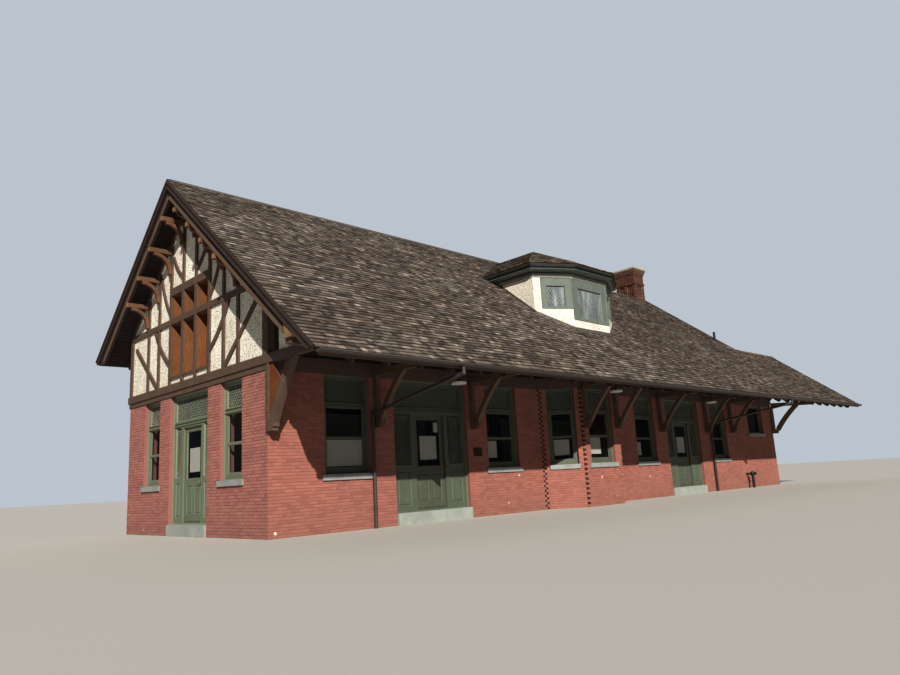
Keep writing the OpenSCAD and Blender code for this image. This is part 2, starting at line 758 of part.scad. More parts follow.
// Downpipes: from the gutter back to the wall on a slant, then down to the ground
pipe_r = 42;
elbow_r = 50;
module pipe_between(p, q) {
    d = q - p;
    length = norm(d);
    translate(p) rotate([0, acos(d[2] / length), atan2(d[1], d[0])]) cylinder(h = length, r = pipe_r);
    translate(q) sphere(r = elbow_r, $fn = 32);
}
pipe_wall_y = -95;
strap_z = [400, 1500, 2350];
module downpipe(x_top, x_wall) {
    top = [x_top, gutter_y, gutter_z - gutter_r - 2];
    elbow = [x_top, gutter_y, gutter_z - gutter_r - 130];
    bend = [x_wall, pipe_wall_y, 2560];
    pipe_between(top, elbow);
    pipe_between(elbow, bend);
    translate([x_wall, pipe_wall_y, 0]) cylinder(h = bend[2], r = pipe_r);
    for (z = strap_z) block([x_wall, pipe_wall_y + 10, z], [x_wall + 60, 0, z + 30]);
}
module downpipes() {
    color("#3d342d") {
        downpipe(2900, 2640);
        downpipe(20400, 19260);
        translate([0, wall_d, 0]) mirror([0, 1, 0]) for (x = [3000, 20400]) rear_downpipe(x);
    }
}
module rear_downpipe(x) {
    y = -back_oh - gutter_r;
    elbow = [x, y, back_eave_z - gutter_drop - gutter_r - 130];
    bend = [x, pipe_wall_y - beam_out, elbow[2] - 300];
    pipe_between([x, y, elbow[2] + 128], elbow);
    pipe_between(elbow, bend);
    translate([x, bend[1], 0]) cylinder(h = bend[2], r = pipe_r);
    for (z = strap_z) block([x, bend[1] + 10, z], [x + 60, 0, z + 30]);
}

// Dormer: half an octagon in plan, with walls cut to the slope of the roof
dormer_cant_x = 1150;
dormer_cant_y = 620;
dormer_t = 120;
dormer_back = 2500;
dormer_y = -dormer_out;
dormer_half = dormer_w / 2 + dormer_cant_x;
dormer_angle = atan2(dormer_cant_y, dormer_cant_x);
dormer_cant_l = norm([dormer_cant_x, dormer_cant_y]);
// The front edge of the plan, grown outwards, from the middle to one side
function dormer_edge(side, grow) = [
    [dormer_x + side * (dormer_w / 2 + grow * tan(dormer_angle / 2)), dormer_y - grow],
    [dormer_x + side * (dormer_half + grow),
        dormer_y + dormer_cant_y - grow * tan(45 - dormer_angle / 2)]
];
module dormer_plan(grow, back = dormer_back) {
    l = dormer_edge(-1, grow);
    r = dormer_edge(1, grow);
    polygon([[l[1][0], back], l[1], l[0], r[0], r[1], [r[1][0], back]]);
}
module dormer_ring(inner, outer, z0, z1) {
    translate([0, 0, z0]) linear_extrude(z1 - z0) difference() {
        dormer_plan(outer);
        dormer_plan(inner, dormer_back + 1);
    }
}
module above_roof() {
    along(0, wall_l) polygon([
        [-front_oh, front_z(-front_oh)], [-front_oh, ridge_z + eps],
        [ridge_y, ridge_z + eps], [ridge_y, ridge_z]
    ]);
}
module dormer_hole() {
    translate([0, 0, floor_h]) linear_extrude(ridge_z) dormer_plan(-dormer_t - eps, 1500);
}
// Puts a shape drawn on a plane at y = 0, from its left end, onto a cant of the dormer
module on_dormer_cant(side) {
    translate([dormer_x, dormer_y, 0]) scale_x(side) translate([dormer_w / 2, 0, 0])
        rotate([0, 0, dormer_angle]) children();
}
// Frames run to the corners between the lights: x0, x1, z0, z1 and the light's own edges
front_frame = [-910, 910, 5650, 6990];
front_light = [-640, 640, 5715, 6705];
cant_frame = [10, 1060, 5990, 6990];
cant_light = [250, 860, 6050, 6725];
module slab_box(f, y0, y1) {
    block([f[0], y0, f[2]], [f[1], y1, f[3]]);
}
module dormer_walls() {
    color("wheat") intersection() {
        difference() {
            dormer_ring(-dormer_t, 0, floor_h, dormer_top);
            translate([dormer_x, dormer_y, 0]) slab_box(front_frame, -eps, dormer_t + eps);
            on_dormer_cant(1) slab_box(cant_frame, -eps, dormer_t + eps);
            on_dormer_cant(-1) slab_box(cant_frame, -eps, dormer_t + eps);
        }
        above_roof();
    }
}
// Boxed cornice: a frieze, a soffit board and a deep fascia
frieze_top = 7190;
dormer_eave_z = 7400;
dormer_eave_out = 240;
module dormer_cornice() {
    color("darkslategray") intersection() {
        union() {
            dormer_ring(-dormer_t, 30, dormer_top, frieze_top + 1);
            dormer_ring(-dormer_t, dormer_eave_out - 40, frieze_top, frieze_top + 30);
            dormer_ring(dormer_eave_out - 60, dormer_eave_out, frieze_top, dormer_eave_z - 80);
        }
        above_roof();
    }
}
// The dormer's own roof: three slopes and two sides that meet in a point, then a ridge
apex_y = 1730;
apex_z = 8600;
dormer_roof_t = 80;
apex_cant_y = (apex_y - dormer_y) * cos(dormer_angle) + dormer_w / 2 * sin(dormer_angle);
module under_slope(run, z_low) {
    e = dormer_eave_out + 30;
    polygon([
        [-e, z_low], [-e, dormer_eave_z], [run, apex_z], [run + 9000, apex_z], [run + 9000, z_low]
    ]);
}
module dormer_hood(z_low) {
    e = dormer_half + dormer_eave_out + 30;
    intersection() {
        translate([0, 0, z_low]) linear_extrude(apex_z - z_low)
            dormer_plan(dormer_eave_out + 30, ridge_y);
        upright(-front_oh, ridge_y + front_oh) polygon([
            [dormer_x - e, z_low], [dormer_x - e, dormer_eave_z], [dormer_x, apex_z],
            [dormer_x + e, dormer_eave_z], [dormer_x + e, z_low]
        ]);
        translate([0, dormer_y, 0]) along(dormer_x - e, 2 * e)
            under_slope(apex_y - dormer_y, z_low);
        on_dormer_cant(1) along(-9000, 18000) under_slope(apex_cant_y, z_low);
        on_dormer_cant(-1) along(-9000, 18000) under_slope(apex_cant_y, z_low);
    }
}
module dormer_roof() {
    color("rosybrown") intersection() {
        difference() {
            dormer_hood(dormer_eave_z - dormer_roof_t);
            translate([0, 0, -dormer_roof_t]) dormer_hood(dormer_eave_z - 1000);
        }
        above_roof();
    }
}
dormer_frame_d = 70;
dormer_glass_y = 45;
module dormer_frame(frame, light) {
    difference() {
        slab_box(frame, 0, dormer_frame_d);
        slab_box(light, -eps, dormer_frame_d + eps);
    }
}
module dormer_windows() {
    color("darkseagreen") {
        translate([dormer_x, dormer_y, 0]) dormer_frame(front_frame, front_light);
        for (side = [-1, 1]) on_dormer_cant(side) dormer_frame(cant_frame, cant_light);
    }
}
module dormer_glass() {
    color("lightsteelblue") {
        translate([dormer_x, dormer_y, 0])
            slab_box(front_light, dormer_glass_y, dormer_glass_y + glass_t);
        for (side = [-1, 1]) on_dormer_cant(side)
            slab_box(cant_light, dormer_glass_y, dormer_glass_y + glass_t);
    }
}

// Chimney on the end of the ridge, standing on the floor
module chimney_block(grow, z0, z1) {
    block([chimney_x - grow, ridge_y - chimney_d / 2 - grow, z0],
        [chimney_x + chimney_w + grow, ridge_y + chimney_d / 2 + grow, z1]);
}
chimney_cap_h = 70;
string_drop = 780;
module chimney() {
    color("chocolate") difference() {
        union() {
            chimney_block(0, floor_h, chimney_top - chimney_cap_h);
            chimney_block(35, chimney_top - string_drop, chimney_top - string_drop + 70);
            for (i = [0 : 3])
                chimney_block(20 + 25 * i, chimney_top - 350 + 70 * i, chimney_top - chimney_cap_h);
        }
        chimney_flue(chimney_top - 1500, chimney_top);
        chimney_panels(ridge_z - 150, chimney_top - string_drop - 40);
    }
}
// Shallow upright panels sunk in the four faces of the stack
panel_d = 30;
panel_edge = 150;
module chimney_panels(z0, z1) {
    w = (chimney_d - 3 * panel_edge) / 2;
    y0 = ridge_y - chimney_d / 2;
    for (side = [0, 1]) {
        end = chimney_x + side * chimney_w;
        for (y = [y0 + panel_edge, y0 + chimney_d - panel_edge - w])
            block([end - panel_d, y, z0], [end + panel_d, y + w, z1]);
        face = y0 + side * chimney_d;
        block([chimney_x + panel_edge, face - panel_d, z0],
            [chimney_x + chimney_w - panel_edge, face + panel_d, z1]);
    }
}
// Two flues side by side across the ridge
flue_w = 260;
flue_y = 240;
module chimney_flue(z0, z1) {
    middle = chimney_x + chimney_w / 2;
    for (side = [-1, 1]) block(
        [middle - flue_w / 2, ridge_y + side * flue_y - flue_w / 2, z0],
        [middle + flue_w / 2, ridge_y + side * flue_y + flue_w / 2, z1 + 1]);
}
module chimney_cap() {
    color("lightgray") difference() {
        chimney_block(110, chimney_top - chimney_cap_h, chimney_top);
        chimney_flue(chimney_top - chimney_cap_h - 1, chimney_top);
    }
}

// Sash windows: a box frame with a transom bar and a meeting rail in front of one sheet
frame_w = 80;
frame_d = 90;
glass_t = 6;
glass_y = reveal + 45;
bar_d = 45;
transom_z = 2700;
transom_h = 130;
meeting_z = 2000;
meeting_h = 50;
sash_w = 45;
// Drawn from the left jamb of the opening, y from the wall's face
module sash_window(w, z0, z1 = brick_h - seat) {
    difference() {
        translate([0, reveal, z0]) cube([w, frame_d, z1 - z0]);
        translate([frame_w, reveal - 1, z0 + frame_w])
            cube([w - 2 * frame_w, frame_d + 2, z1 - z0 - 2 * frame_w]);
    }
    if (z0 < meeting_z) {
        translate([frame_w - 1, reveal, transom_z]) cube([w - 2 * frame_w + 2, bar_d, transom_h]);
        translate([frame_w - 1, reveal + 10, meeting_z])
            cube([w - 2 * frame_w + 2, bar_d - 10, meeting_h]);
        for (x = [frame_w - 1, w - frame_w - sash_w + 1])
            translate([x, reveal + 15, z0 + frame_w - 1])
                cube([sash_w, bar_d - 15, transom_z - z0 - frame_w + 2]);
        translate([frame_w - 1, reveal + 15, z0 + frame_w - 1])
            cube([w - 2 * frame_w + 2, bar_d - 15, 70]);
    }
}
module sash_glass(w, z0, z1 = brick_h - seat) {
    translate([frame_w, glass_y, z0 + frame_w])
        cube([w - 2 * frame_w, glass_t, z1 - z0 - 2 * frame_w]);
}
module on_gable() {
    rotate([0, 0, -90]) children();
}
module at_front_windows() {
    for (x = window_x) translate([x, 0, 0]) children(0);
    translate([small_window_x, 0, 0]) children(1);
    translate([bay_x - bay_front_window_w / 2, -bay_out, 0]) children(2);
    for (side = [-1, 1]) on_cant(side) translate([(cant_l - cant_window_w) / 2, 0, 0]) children(3);
}
module front_windows() {
    color("darkseagreen") at_front_windows() {
        sash_window(window_w, sill_z);
        sash_window(small_window_w, small_window_z);
        sash_window(bay_front_window_w, sill_z);
        sash_window(cant_window_w, sill_z);
    }
}
module front_glass() {
    color("lightsteelblue") {
        at_front_windows() {
            sash_glass(window_w, sill_z);
            sash_glass(small_window_w, small_window_z);
            sash_glass(bay_front_window_w, sill_z);
            sash_glass(cant_window_w, sill_z);
        }
        for (x = door_x) translate([x, 0, 0]) door_unit_glass(door_w);
    }
}
module gable_windows() {
    color("darkseagreen") for (y = gable_window_y)
        translate([0, y + gable_window_w, 0]) on_gable() sash_window(gable_window_w, sill_z);
}
module gable_glass() {
    color("lightsteelblue") {
        for (y = gable_window_y)
            translate([0, y + gable_window_w, 0]) on_gable() sash_glass(gable_window_w, sill_z);
        translate([0, gable_door_y + gable_door_w, 0]) on_gable() door_unit_glass(gable_door_w);
    }
}
module at_rear_windows() {
    for (x = rear_window_x) translate([x + window_w, wall_d, 0]) rotate([0, 0, 180]) children();
    translate([main_end_x, main_end_window_y, 0]) rotate([0, 0, 90]) children();
}
module rear_windows() {
    color("darkseagreen") at_rear_windows() sash_window(window_w, sill_z);
}
module rear_glass() {
    color("lightsteelblue") at_rear_windows() sash_glass(window_w, sill_z);
}

// Stone sills and door steps
sill_h = 130;
sill_out = 45;
module window_sills() {
    color("lightgray") {
        at_front_windows() {
            front_sill(window_w, sill_z);
            front_sill(small_window_w, small_window_z);
            front_sill(bay_front_window_w, sill_z);
            front_sill(cant_window_w, sill_z, 20);
        }
        for (y = gable_window_y) translate([0, y + gable_window_w, 0]) on_gable()
            front_sill(gable_window_w, sill_z);
        at_rear_windows() front_sill(window_w, sill_z);
    }
}
module front_sill(w, z, ear = 90) {
    translate([-ear, -sill_out, z - sill_h]) cube([w + 2 * ear, sill_out, sill_h]);
}
step_out = 60;
module door_steps() {
    color("gainsboro") {
        for (x = door_x) translate([x, -step_out, 0]) cube([door_w, wall_t + step_out, floor_h]);
        translate([-step_out, gable_door_y, 0]) cube([wall_t + step_out, gable_door_w, floor_h]);
    }
}

// Door units: two side lights, a transom light and one leaf that opens inwards
door_frame_y0 = reveal;
door_frame_y1 = 195;
leaf_y0 = 160;
leaf_t = 45;
leaf_gap = 8;
mullion_w = 110;
jamb_w = 90;
door_transom_z = leaf_top + 20;
door_transom_h = 150;
leaf_z0 = floor_h + 12;
panel_top = 1300;
frame_head = 90;
function side_light_w(w) = (w - 2 * jamb_w - 2 * mullion_w - leaf_w - 2 * leaf_gap) / 2;
function leaf_x(w) = (w - leaf_w) / 2;
module door_unit(w) {
    s = side_light_w(w);
    d = door_frame_y1 - door_frame_y0;
    difference() {
        translate([0, door_frame_y0, floor_h]) cube([w, d, brick_h - floor_h]);
        for (x = [jamb_w, w - jamb_w - s])
            translate([x, door_frame_y0 - 1, panel_top + 80])
                cube([s, d + 2, door_transom_z - panel_top - 80]);
        translate([jamb_w, door_frame_y0 - 1, door_transom_z + door_transom_h])
            cube([w - 2 * jamb_w, d + 2, brick_h - frame_head - door_transom_z - door_transom_h]);
        for (x = [jamb_w, w - jamb_w - s])
            translate([x + 50, door_frame_y0 - 1, floor_h + 150])
                cube([s - 100, 21, panel_top - floor_h - 200]);
        translate([leaf_x(w) - leaf_gap, leaf_y0 - 6, floor_h - 1])
            cube([leaf_w + 2 * leaf_gap, d, door_transom_z - floor_h + 1]);
        translate([leaf_x(w) + 10, door_frame_y0 - 1, floor_h - 1])
            cube([leaf_w - 20, d, leaf_top - floor_h - 10]);
    }
}
module door_unit_glass(w) {
    s = side_light_w(w);
    for (x = [jamb_w, w - jamb_w - s]) translate([x, glass_y, panel_top + 80])
        cube([s, glass_t, door_transom_z - panel_top - 80]);
    translate([jamb_w, glass_y, door_transom_z + door_transom_h])
        cube([w - 2 * jamb_w, glass_t, brick_h - frame_head - door_transom_z - door_transom_h]);
}
module door_frames() {
    color("darkseagreen") {
        for (x = door_x) translate([x, 0, 0]) door_unit(door_w);
        translate([0, gable_door_y + gable_door_w, 0]) on_gable() door_unit(gable_door_w);
    }
}
stile_w = 120;
rail_top_w = 120;
leaf_glass_z = 1340;
hinge_r = 8;
hinge_y = leaf_y0 + leaf_t + 4;
hinge_z = [450, 1400, 2350];
hinge_l = 110;
knob_r = 28;
knob_z = 1250;
// Drawn from the hinge edge of the leaf
module door_leaf() {
    difference() {
        translate([0, leaf_y0, leaf_z0]) cube([leaf_w, leaf_t, leaf_top - leaf_z0]);
        translate([stile_w, leaf_y0 - 1, leaf_glass_z])
            cube([leaf_w - 2 * stile_w, leaf_t + 2, leaf_top - rail_top_w - leaf_glass_z]);
        for (i = [0, 1]) for (y = [leaf_y0 - 1, leaf_y0 + leaf_t - 11])
            translate([stile_w + i * (leaf_w - stile_w) / 2, y, leaf_z0 + 220])
                cube([(leaf_w - 3 * stile_w) / 2, 12, leaf_glass_z - leaf_z0 - 380]);
    }
    for (z = hinge_z) translate([0, hinge_y, z]) cylinder(h = hinge_l, r = hinge_r);
    translate([leaf_w - 60, leaf_y0 - 55, knob_z]) rotate([-90, 0, 0]) cylinder(h = leaf_t + 110, r = 10);
    for (y = [leaf_y0 - 55, leaf_y0 + leaf_t + 55])
        translate([leaf_w - 60, y, knob_z]) sphere(r = knob_r, $fn = 32);
}
module leaf_glass() {
    translate([stile_w, leaf_y0 + 20, leaf_glass_z])
        cube([leaf_w - 2 * stile_w, glass_t, leaf_top - rail_top_w - leaf_glass_z]);
}
module at_door(i) {
    if (i < 2) translate([door_x[i] + leaf_x(door_w), 0, 0]) children();
    else translate([0, gable_door_y + gable_door_w - leaf_x(gable_door_w), 0]) on_gable() children();
}
module left_door() { color("olivedrab") at_door(0) door_leaf(); }
module left_door_glass() { color("lightsteelblue") at_door(0) leaf_glass(); }
module right_door() { color("olivedrab") at_door(1) door_leaf(); }
module right_door_glass() { color("lightsteelblue") at_door(1) leaf_glass(); }
module gable_door() { color("olivedrab") at_door(2) door_leaf(); }
module gable_door_glass() { color("lightsteelblue") at_door(2) leaf_glass(); }

// Small fixtures
lamp_places = [[4700, -900], [10650, -1500], [17900, -900]];
lamp_r = 185;
lamp_z = 3250;
module eave_lamps() {
    color("white") for (p = lamp_places) {
        translate([p[0], p[1], lamp_z]) cylinder(h = 45, r = lamp_r);
        translate([p[0], p[1], lamp_z + 40])
            cylinder(h = front_z(p[1] - 14) - roof_t - lamp_z - 40, r = 14);
    }
}
module wall_plaque() {
    color("darkgoldenrod") block([5990, -25, 1540], [6290, 0, 1760]);
}
module standpipe() {
    color("black") translate([22100, -260, 0]) {
        cylinder(h = 560, r = 57);
        translate([0, 0, 560]) sphere(r = 95, $fn = 32);
        translate([0, 0, 560]) rotate([90, 0, 0]) cylinder(h = 150, r = 55);
        translate([0, 0, 560]) rotate([-90, 0, 0]) cylinder(h = 260, r = 40);
    }
}
module vent_pipe() {
    color("black") intersection() {
        translate([22770, 900, front_z(900)]) difference() {
            translate([0, 0, -60]) cylinder(h = 420, r = 50);
            translate([0, 0, 100]) cylinder(h = 300, r = 42);
        }
        translate([0, 0, seat]) above_roof();
    }
}

place() floor_slab();
place() front_wall_left();
place() front_wall_mid_left();
place() bay_wall();
place() front_wall_mid_right();
place() front_wall_right();
place() gable_wall_near();
place() gable_wall_far();
place() back_wall();
place() end_walls();
place() sill_beam_front();
place() sill_beam_gable();
place() sill_beam_rear();
place() upper_wall_front();
place() upper_wall_rear();
place() rear_timbers();
place() gable_stucco();
place() gable_timbers();
place() gable_boards();
place() bargeboards();
place() verge_brackets();
place() roof_front();
place() roof_back();
place() roof_hip();
place() wing_roof_back();
place() ridge_caps();
place() rafter_tails();
place() eave_beam();
place() eave_brackets();
place() corner_bracket();
place() gutters();
place() downpipes();
place() dormer_walls();
place() dormer_cornice();
place() dormer_roof();
place() dormer_windows();
place() dormer_glass();
place() chimney();
place() chimney_cap();
place() front_windows();
place() front_glass();
place() gable_windows();
place() gable_glass();
place() rear_windows();
place() rear_glass();
place() window_sills();
place() door_frames();
place() door_steps();
place() left_door();
place() left_door_glass();
place() right_door();
place() right_door_glass();
place() gable_door();
place() gable_door_glass();
place() eave_lamps();
place() wall_plaque();
place() standpipe();
place() vent_pipe();
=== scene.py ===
"""Surface detail and finishes for a brick railway station building.

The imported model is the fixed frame. This file lays bricks, shingles, boards, leaded lights and
mouldings over it, gives every surface its finish, and sets up the floor, the light and the camera.
Lengths are metres, and places are measured from the near front corner of the walls.
"""

import math
from functools import partial

import bpy
import numpy as np
from bpy.props import FloatProperty, FloatVectorProperty, IntProperty, PointerProperty
from mathutils import Matrix, Vector


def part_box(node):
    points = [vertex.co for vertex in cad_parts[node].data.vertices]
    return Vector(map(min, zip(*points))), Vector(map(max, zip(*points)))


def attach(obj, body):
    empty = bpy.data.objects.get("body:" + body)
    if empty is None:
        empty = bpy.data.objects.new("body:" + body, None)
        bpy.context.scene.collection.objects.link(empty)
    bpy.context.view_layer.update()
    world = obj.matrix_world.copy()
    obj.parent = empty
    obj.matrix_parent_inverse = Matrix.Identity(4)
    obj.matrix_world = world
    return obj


bl_info = {
    "name": "Station Building Detail",
    "version": (1, 0, 0),
    "blender": (4, 5, 0),
    "location": "View3D > Sidebar > Station",
    "description": "Bricks, shingles, boards, leaded lights and finishes for a station building",
    "category": "Object",
}

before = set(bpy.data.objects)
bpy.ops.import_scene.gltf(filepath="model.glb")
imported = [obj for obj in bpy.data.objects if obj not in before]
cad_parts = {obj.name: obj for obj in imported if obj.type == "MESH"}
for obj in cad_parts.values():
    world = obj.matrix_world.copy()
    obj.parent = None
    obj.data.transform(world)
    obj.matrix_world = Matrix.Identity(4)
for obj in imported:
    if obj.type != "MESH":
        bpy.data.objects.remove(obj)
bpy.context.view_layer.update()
# The near front corner of the walls at ground level: every place below is measured from it
ORIGIN = np.array([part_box("gable_wall_near")[0].x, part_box("front_wall_left")[0].y, 0.0])
rng = np.random.default_rng(1871)


def local_box(node):
    """Lowest and highest corner of a node, measured from the near front corner of the walls."""
    low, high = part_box(node)
    return np.array(low) - ORIGIN, np.array(high) - ORIGIN


# Main lines of the building, read from the model
WALL_L = local_box("front_wall_right")[1][0]
WALL_D = local_box("back_wall")[1][1]
BRICK_H = local_box("front_wall_left")[1][2]
MAIN_END = local_box("back_wall")[1][0]
BAY_X0, BAY_X1 = local_box("bay_wall")[0][0], local_box("bay_wall")[1][0]
BAY_OUT = -local_box("bay_wall")[0][1]
ROOF_HIGH = local_box("roof_front")[1]
RIDGE_Y, RIDGE_Z = ROOF_HIGH[1], ROOF_HIGH[2]
VERGE_X = local_box("bargeboards")[0][0]
BACK_EAVE_Y = local_box("roof_back")[1][1]
# The wing's depth, the thickness of walls and roof, and the front eave's edge
WING_D = 2.4
WALL_T = 0.33
ROOF_T = 0.15
EAVE_Y, EAVE_Z = -2.8, 3.38
PITCH = (RIDGE_Z - EAVE_Z) / (RIDGE_Y - EAVE_Y)
SLOPE = math.hypot(1, PITCH)
HIP_RUN = 0.35
RIDGE_END_X = local_box("roof_back")[1][0] - HIP_RUN * (BACK_EAVE_Y - RIDGE_Y)
MAIN_EAVE_X = RIDGE_END_X + HIP_RUN * (BACK_EAVE_Y - RIDGE_Y)
BACK_EAVE_Z = RIDGE_Z - PITCH * (BACK_EAVE_Y - RIDGE_Y)
# The wing's ridge: where it starts, where it ends, and how far back it lies
WING_RIDGE = (23.25, 27.25, 0.27)
WING_RIDGE_Z = RIDGE_Z - PITCH * (RIDGE_Y - WING_RIDGE[2])
WING_BACK_Y = 2 * WING_RIDGE[2] - EAVE_Y
CORNER_X = ROOF_HIGH[0]
CORNER_RUN = (CORNER_X - WING_RIDGE[1]) / (WING_RIDGE[2] - EAVE_Y)
# The dormer: the middle of its front, half its front, half its whole width, how far each cant
# runs along and back, and the heights of its frames
DORMER = (11.35, -0.44)
DORMER_HALF, DORMER_SIDE = 0.95, 2.1
CANT = (1.15, 0.62)
CANT_RUN = math.hypot(*CANT)
FRONT_FRAME_Z, CANT_FRAME_Z, DORMER_HEAD = 5.65, 5.99, 6.99
CORNICE_LINE = 7.183
# How far the chimney's cap stands out past the stack
STACK_OUT = 0.095
LAMP_STEM = 3.297
# Height bands of the gable's level timbers, and its recesses: rows, and columns from the ridge
GABLE_RAILS = ((5.33, 5.48), (6.11, 6.31), (3.43, 3.75))
RECESS_ROWS = ((3.975, 5.305), (5.505, 6.085))
RECESS_COLUMNS = ((-1.035, -0.435), (-0.305, 0.305), (0.435, 1.035))

# Openings in the walls: left, right, low and high
SILL_Z = 1.23
FRONT_WINDOWS = [(x, x + 1.25) for x in (1.38, 6.55, 13.95, 19.5)]
FRONT_DOORS = [(x, x + 2.45) for x in (3.34, 16.03)]
SMALL_WINDOW = (22.9, 24.4)
SMALL_Z = 2.23
GABLE_WINDOWS = [(1.1, 2.1), (5.5, 6.5)]
GABLE_DOOR = (2.755, 4.845)
REAR_WINDOWS = [(x, x + 1.25) for x in (1.6, 4.7, 7.8, 10.9, 14.0, 17.1, 20.2)]
END_WINDOW = (4.3, 5.55)
CANT_L = BAY_OUT * math.sqrt(2)
CANT_WINDOW = ((CANT_L - 0.82) / 2, (CANT_L + 0.82) / 2)
BAY_WINDOW = ((BAY_X0 + BAY_X1) / 2 - 0.625, (BAY_X0 + BAY_X1) / 2 + 0.625)
REVEAL = 0.11
FLOOR_Z = 0.27
FRAME_W = 0.08
TRANSOM = (2.7, 2.83)
MEETING = (2.0, 2.05)
LEAF_W = 1.0
OPEN_TOP = 9
# Depths in an opening, from the outside in: the faces of drips, frames, beads and lights and the
# leads' backs, then the beads and the faces of the door leaves
DRIP_FACE, FRAME_FACE, BEAD_FACE, LIGHT_FACE, LEAD_BACK = -0.085, -0.111, -0.125, -0.15, -0.155
LEAF_BEAD, LEAF_FACE = -0.157, -0.161
DOOR_WIDTHS = {"left_door": 2.45, "right_door": 2.45, "gable_door": 2.09}


def srgb(text):
    """Turns a #rrggbb colour into the linear values that Blender uses."""
    parts = [int(text[i : i + 2], 16) / 255 for i in (1, 3, 5)]
    return tuple(c / 12.92 if c <= 0.04045 else ((c + 0.055) / 1.055) ** 2.4 for c in parts)


def colour(name, text, description):
    """A colour that a user can change in the sidebar."""
    return FloatVectorProperty(
        name=name, description=description, subtype="COLOR", min=0, max=1, default=srgb(text)
    )


def length(name, value, description):
    """A length that a user can change in the sidebar."""
    return FloatProperty(
        name=name, description=description, unit="LENGTH", min=0.0005, default=value
    )


class StationSizes(bpy.types.PropertyGroup):
    """Sizes of the laid pieces"""

    brick_l: length("Brick length", 0.203, "Length of a stretcher's face")
    brick_course: length("Brick course", 0.0686, "Height of a brick with one bed joint")
    joint: length("Mortar joint", 0.009, "Width of the joints between bricks")
    brick_proud: length("Brick face", 0.006, "How far a brick's face stands in front of the joints")
    header_every: IntProperty(
        name="Header course", description="A course of headers after this many", min=2, default=7
    )
    shingle_step: length("Shingle exposure", 0.14, "Height of a shingle course along the slope")
    shingle_w: length("Shingle width", 0.15, "Mean width of a shingle")
    shingle_t: length("Shingle butt", 0.018, "Thickness of a shingle's lower edge")
    # The dark line below each course's butts is painted shadow, with dirt
    shade_dirt_w: length("Shadow and dirt line", 0.032, "Width of the dark line below each course's butts")
    came_w: length("Lead width", 0.011, "Width of the lead between the small panes")
    pane_w: length("Pane width", 0.08, "Width of a diamond pane")
    pane_h: length("Pane height", 0.12, "Height of a diamond pane")
    soffit_board: length("Soffit board", 0.135, "Width of the boards under the eaves")


class StationColours(bpy.types.PropertyGroup):
    """Colours of the finishes"""

    front_brick: colour("Front brick", "#9f6b60", "Masonry paint on the street side")
    gable_brick: colour("Gable brick", "#a4716a", "Masonry paint on the gable")
    chimney_brick: colour("Chimney brick", "#9f624a", "Bare brick of the stack")
    stucco: colour("Rough cast", "#efece2", "Pebble-dashed plaster")
    timber: colour("Timber", "#624f45", "Brown paint on the half-timbering")
    dark_timber: colour("Eave timber", "#403330", "Darker paint under the eaves")
    bracket: colour("Brackets", "#6b5748", "Worn brown paint on the eave brackets")
    verge: colour("Verge brackets", "#6f4e3a", "Thin brown stain on the gable's brackets")
    louvre: colour("Louvre boards", "#7a5130", "Stained boards in the gable")
    shingle: colour("Shingles", "#80776f", "Weathered roof")
    shingle_dark: colour("Shingle shade", "#4a403a", "Darkest shingles")
    ridge: colour("Ridge", "#66615b", "Ridge flashing")
    gutter: colour("Gutter", "#463f3b", "Painted gutters and pipes")
    dormer: colour("Dormer trim", "#1f2728", "Gloss paint on the dormer's cornice")
    sage: colour("Window paint", "#535b4d", "Paint on the frames")
    dormer_frame: colour("Dormer frames", "#656e68", "Grey-green paint on the dormer's frames")
    door: colour("Door paint", "#4f5549", "Paint on the doors")
    sill: colour("Sill stone", "#949a9a", "Sawn stone sills")
    step: colour("Step stone", "#9ba19d", "Dressed stone steps")


# Nodes and materials


def add(tree, kind, inputs=None, stops=None, **settings):
    """Adds a node. An input is given a value, or the node or the output that feeds it."""
    made = tree.nodes.new("ShaderNode" + kind)
    for key, value in settings.items():
        setattr(made, key, value)
    for key, value in (inputs or {}).items():
        socket = made.inputs[key]
        if isinstance(value, bpy.types.Node):
            value = value.outputs[0]
        if isinstance(value, bpy.types.NodeSocket):
            tree.links.new(value, socket)
        else:
            opaque = socket.type == "RGBA" and len(value) == 3
            socket.default_value = (*value, 1) if opaque else value
    for i, (place, value) in enumerate(stops or ()):
        band = made.color_ramp.elements
        stop = band[i] if i < len(band) else band.new(place)
        stop.position = place
        stop.color = (value, value, value, 1) if isinstance(value, (int, float)) else (*value, 1)
    return made


def start(name):
    """An empty material, what adds a node to it, and its object coordinates in metres."""
    material = bpy.data.materials.get(name) or bpy.data.materials.new(name)
    material.use_nodes = True
    material.node_tree.nodes.clear()
    node = partial(add, material.node_tree)
    return material, node, node("TexCoord").outputs["Object"]


def finish(material, inputs, height=None, depth=0.0, strength=1.0):
    """Ends a material with its shader, in relief by a height that is depth metres deep."""
    node = partial(add, material.node_tree)
    if height is not None:
        bump = node("Bump", {"Height": height, "Distance": depth, "Strength": strength})
        inputs = {**inputs, "Normal": bump}
    node("OutputMaterial", {"Surface": node("BsdfPrincipled", inputs)})
    return material


def shade(tint, factor):
    """A colour made lighter or darker."""
    return tuple(min(1.0, c * factor) for c in tint[:3])


def coat(node, tone, *coats):
    """Lays coats over a tone. Each says how it mixes, how strongly, and what colour it is."""
    for kind, strength, tint in coats:
        tone = node("Mix", {0: strength, 6: tone, 7: tint}, data_type="RGBA", blend_type=kind,
                    clamp_result=True).outputs[2]
    return tone


def below(node, place, axis, low, high):
    """1 under low, 0 over high, along one axis."""
    value = node("SeparateXYZ", {0: place}).outputs[axis]
    return node("MapRange", {0: value, 1: low, 2: high, 3: 1.0, 4: 0.0}, clamp=True)


